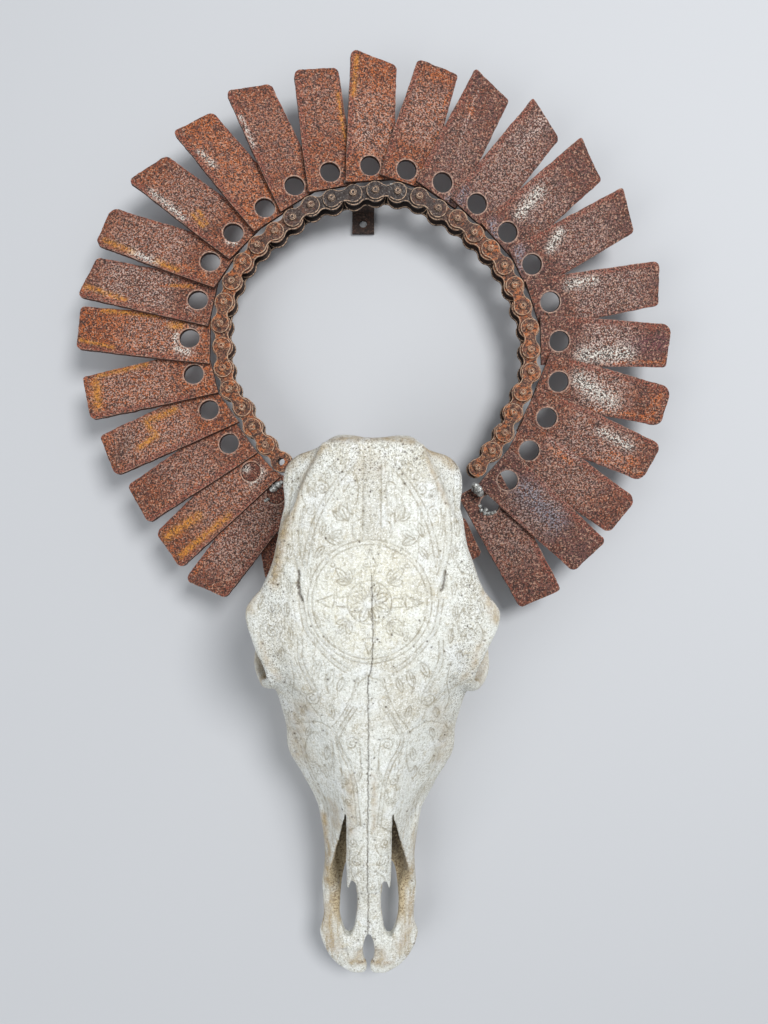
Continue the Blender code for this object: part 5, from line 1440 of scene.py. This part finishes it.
# Tab
# A strip of flat bar, bent to an angle and welded under the top of the ring, holds the piece off the wall.
# Its foot has a small hole for a screw. It is as rusty as the rest, and its colour is darkened as painted
# shade, for the shade it lies in under the ring.
TAB_X = -11.0
TAB_HALF = 10.0
TAB_FOOT = (258.2, 299.8, 0.2, 5.0)        # inner and outer end, bottom and top
TAB_UPRIGHT = (277.0, 282.0, 4.0, 22.8)
TAB_HOLE = (267.0, 3.5)        # y and radius
TAB_WORN = 0.7
bm = bmesh.new()
low_y, high_y, low_z, high_z = TAB_FOOT
foot = [(TAB_X + side * TAB_HALF, end) for side, end in ((-1, low_y), (1, low_y), (1, high_y), (-1, high_y))]
add_plate(bm, foot, [(TAB_X, *TAB_HOLE)], low_z, high_z, TAB_WORN)
low_y, high_y, low_z, high_z = TAB_UPRIGHT
upright = bmesh.ops.create_cube(bm, size=1.0)["verts"]
for v in upright:
    v.co = (TAB_X + 2 * TAB_HALF * v.co.x, (low_y + high_y) / 2 + (high_y - low_y) * v.co.y,
            (low_z + high_z) / 2 + (high_z - low_z) * v.co.z)
rims = each_once(e for v in upright for e in v.link_edges)
bmesh.ops.bevel(bm, geom=rims, offset=TAB_WORN, segments=2, profile=0.5, affect="EDGES")
mesh = mesh_of(bm, "hanging_strap")
# Rusted bar, darkened to almost black brown as painted shade for the shade of the ring, with red and grey
# grains
mesh.materials.append(layered_finish("shade_darkened_rusted_bar", "#2e211c", 0.85, [
    ("#4a2f24", 0.70, "noise", 6, 0.48, 0.64, None),
    ("#6a5348", 0.60, "noise", 1.6, 0.53, 0.64, None),
    ("#17100d", 0.80, "noise", 2.4, 0.50, 0.62, None),
], [("noise", 1.6, 0.35), ("noise", 6, 0.4)]))
strap = finished("hanging_strap", mesh, sharp=True)
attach(strap, "root")
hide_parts("hanging_tab")

# Floor and light
# The piece lies on a plain pale matt floor. A broad soft light hangs at the upper right, as a window does,
# and a faint wide one from the other side keeps the shadows open.
LIT_PLACE = (0, 0, 0.05)       # where both lights point
FLOOR_Z = -0.0002              # just below the piece
FLOOR_COLOUR = (0.55, 0.56, 0.58, 1)
SKY_COLOUR = (0.9, 0.95, 1.0, 1)
bm = bmesh.new()
bmesh.ops.create_grid(bm, x_segments=1, y_segments=1, size=4.0)
floor = new_piece("floor", mesh_of(bm, "floor"))
floor.location.z = FLOOR_Z
paper = bpy.data.materials.new("plain_pale_floor")
paper.use_nodes = True
shader = paper.node_tree.nodes["Principled BSDF"]
shader.inputs["Base Color"].default_value = FLOOR_COLOUR
shader.inputs["Roughness"].default_value = 0.9
floor.data.materials.append(paper)


def soft_light(name, place, size, watts):
    data = bpy.data.lights.new(name, "AREA")
    data.shape = "DISK"
    data.size = size
    data.energy = watts
    lamp = bpy.data.objects.new(name, data)
    lamp.location = place
    lamp.rotation_euler = (Vector(LIT_PLACE) - Vector(place)).to_track_quat("-Z", "Y").to_euler()
    bpy.context.scene.collection.objects.link(lamp)


soft_light("window_light", (0.8, 0.7, 1.95), 0.9, 37.5)
soft_light("fill_light", (-1.3, -0.9, 1.8), 1.6, 15)
world = bpy.data.worlds.new("soft_room")
world.use_nodes = True
sky = world.node_tree.nodes["Background"]
sky.inputs["Color"].default_value = SKY_COLOUR
sky.inputs["Strength"].default_value = 0.42
bpy.context.scene.world = world
bpy.context.scene.view_settings.view_transform = "Standard"
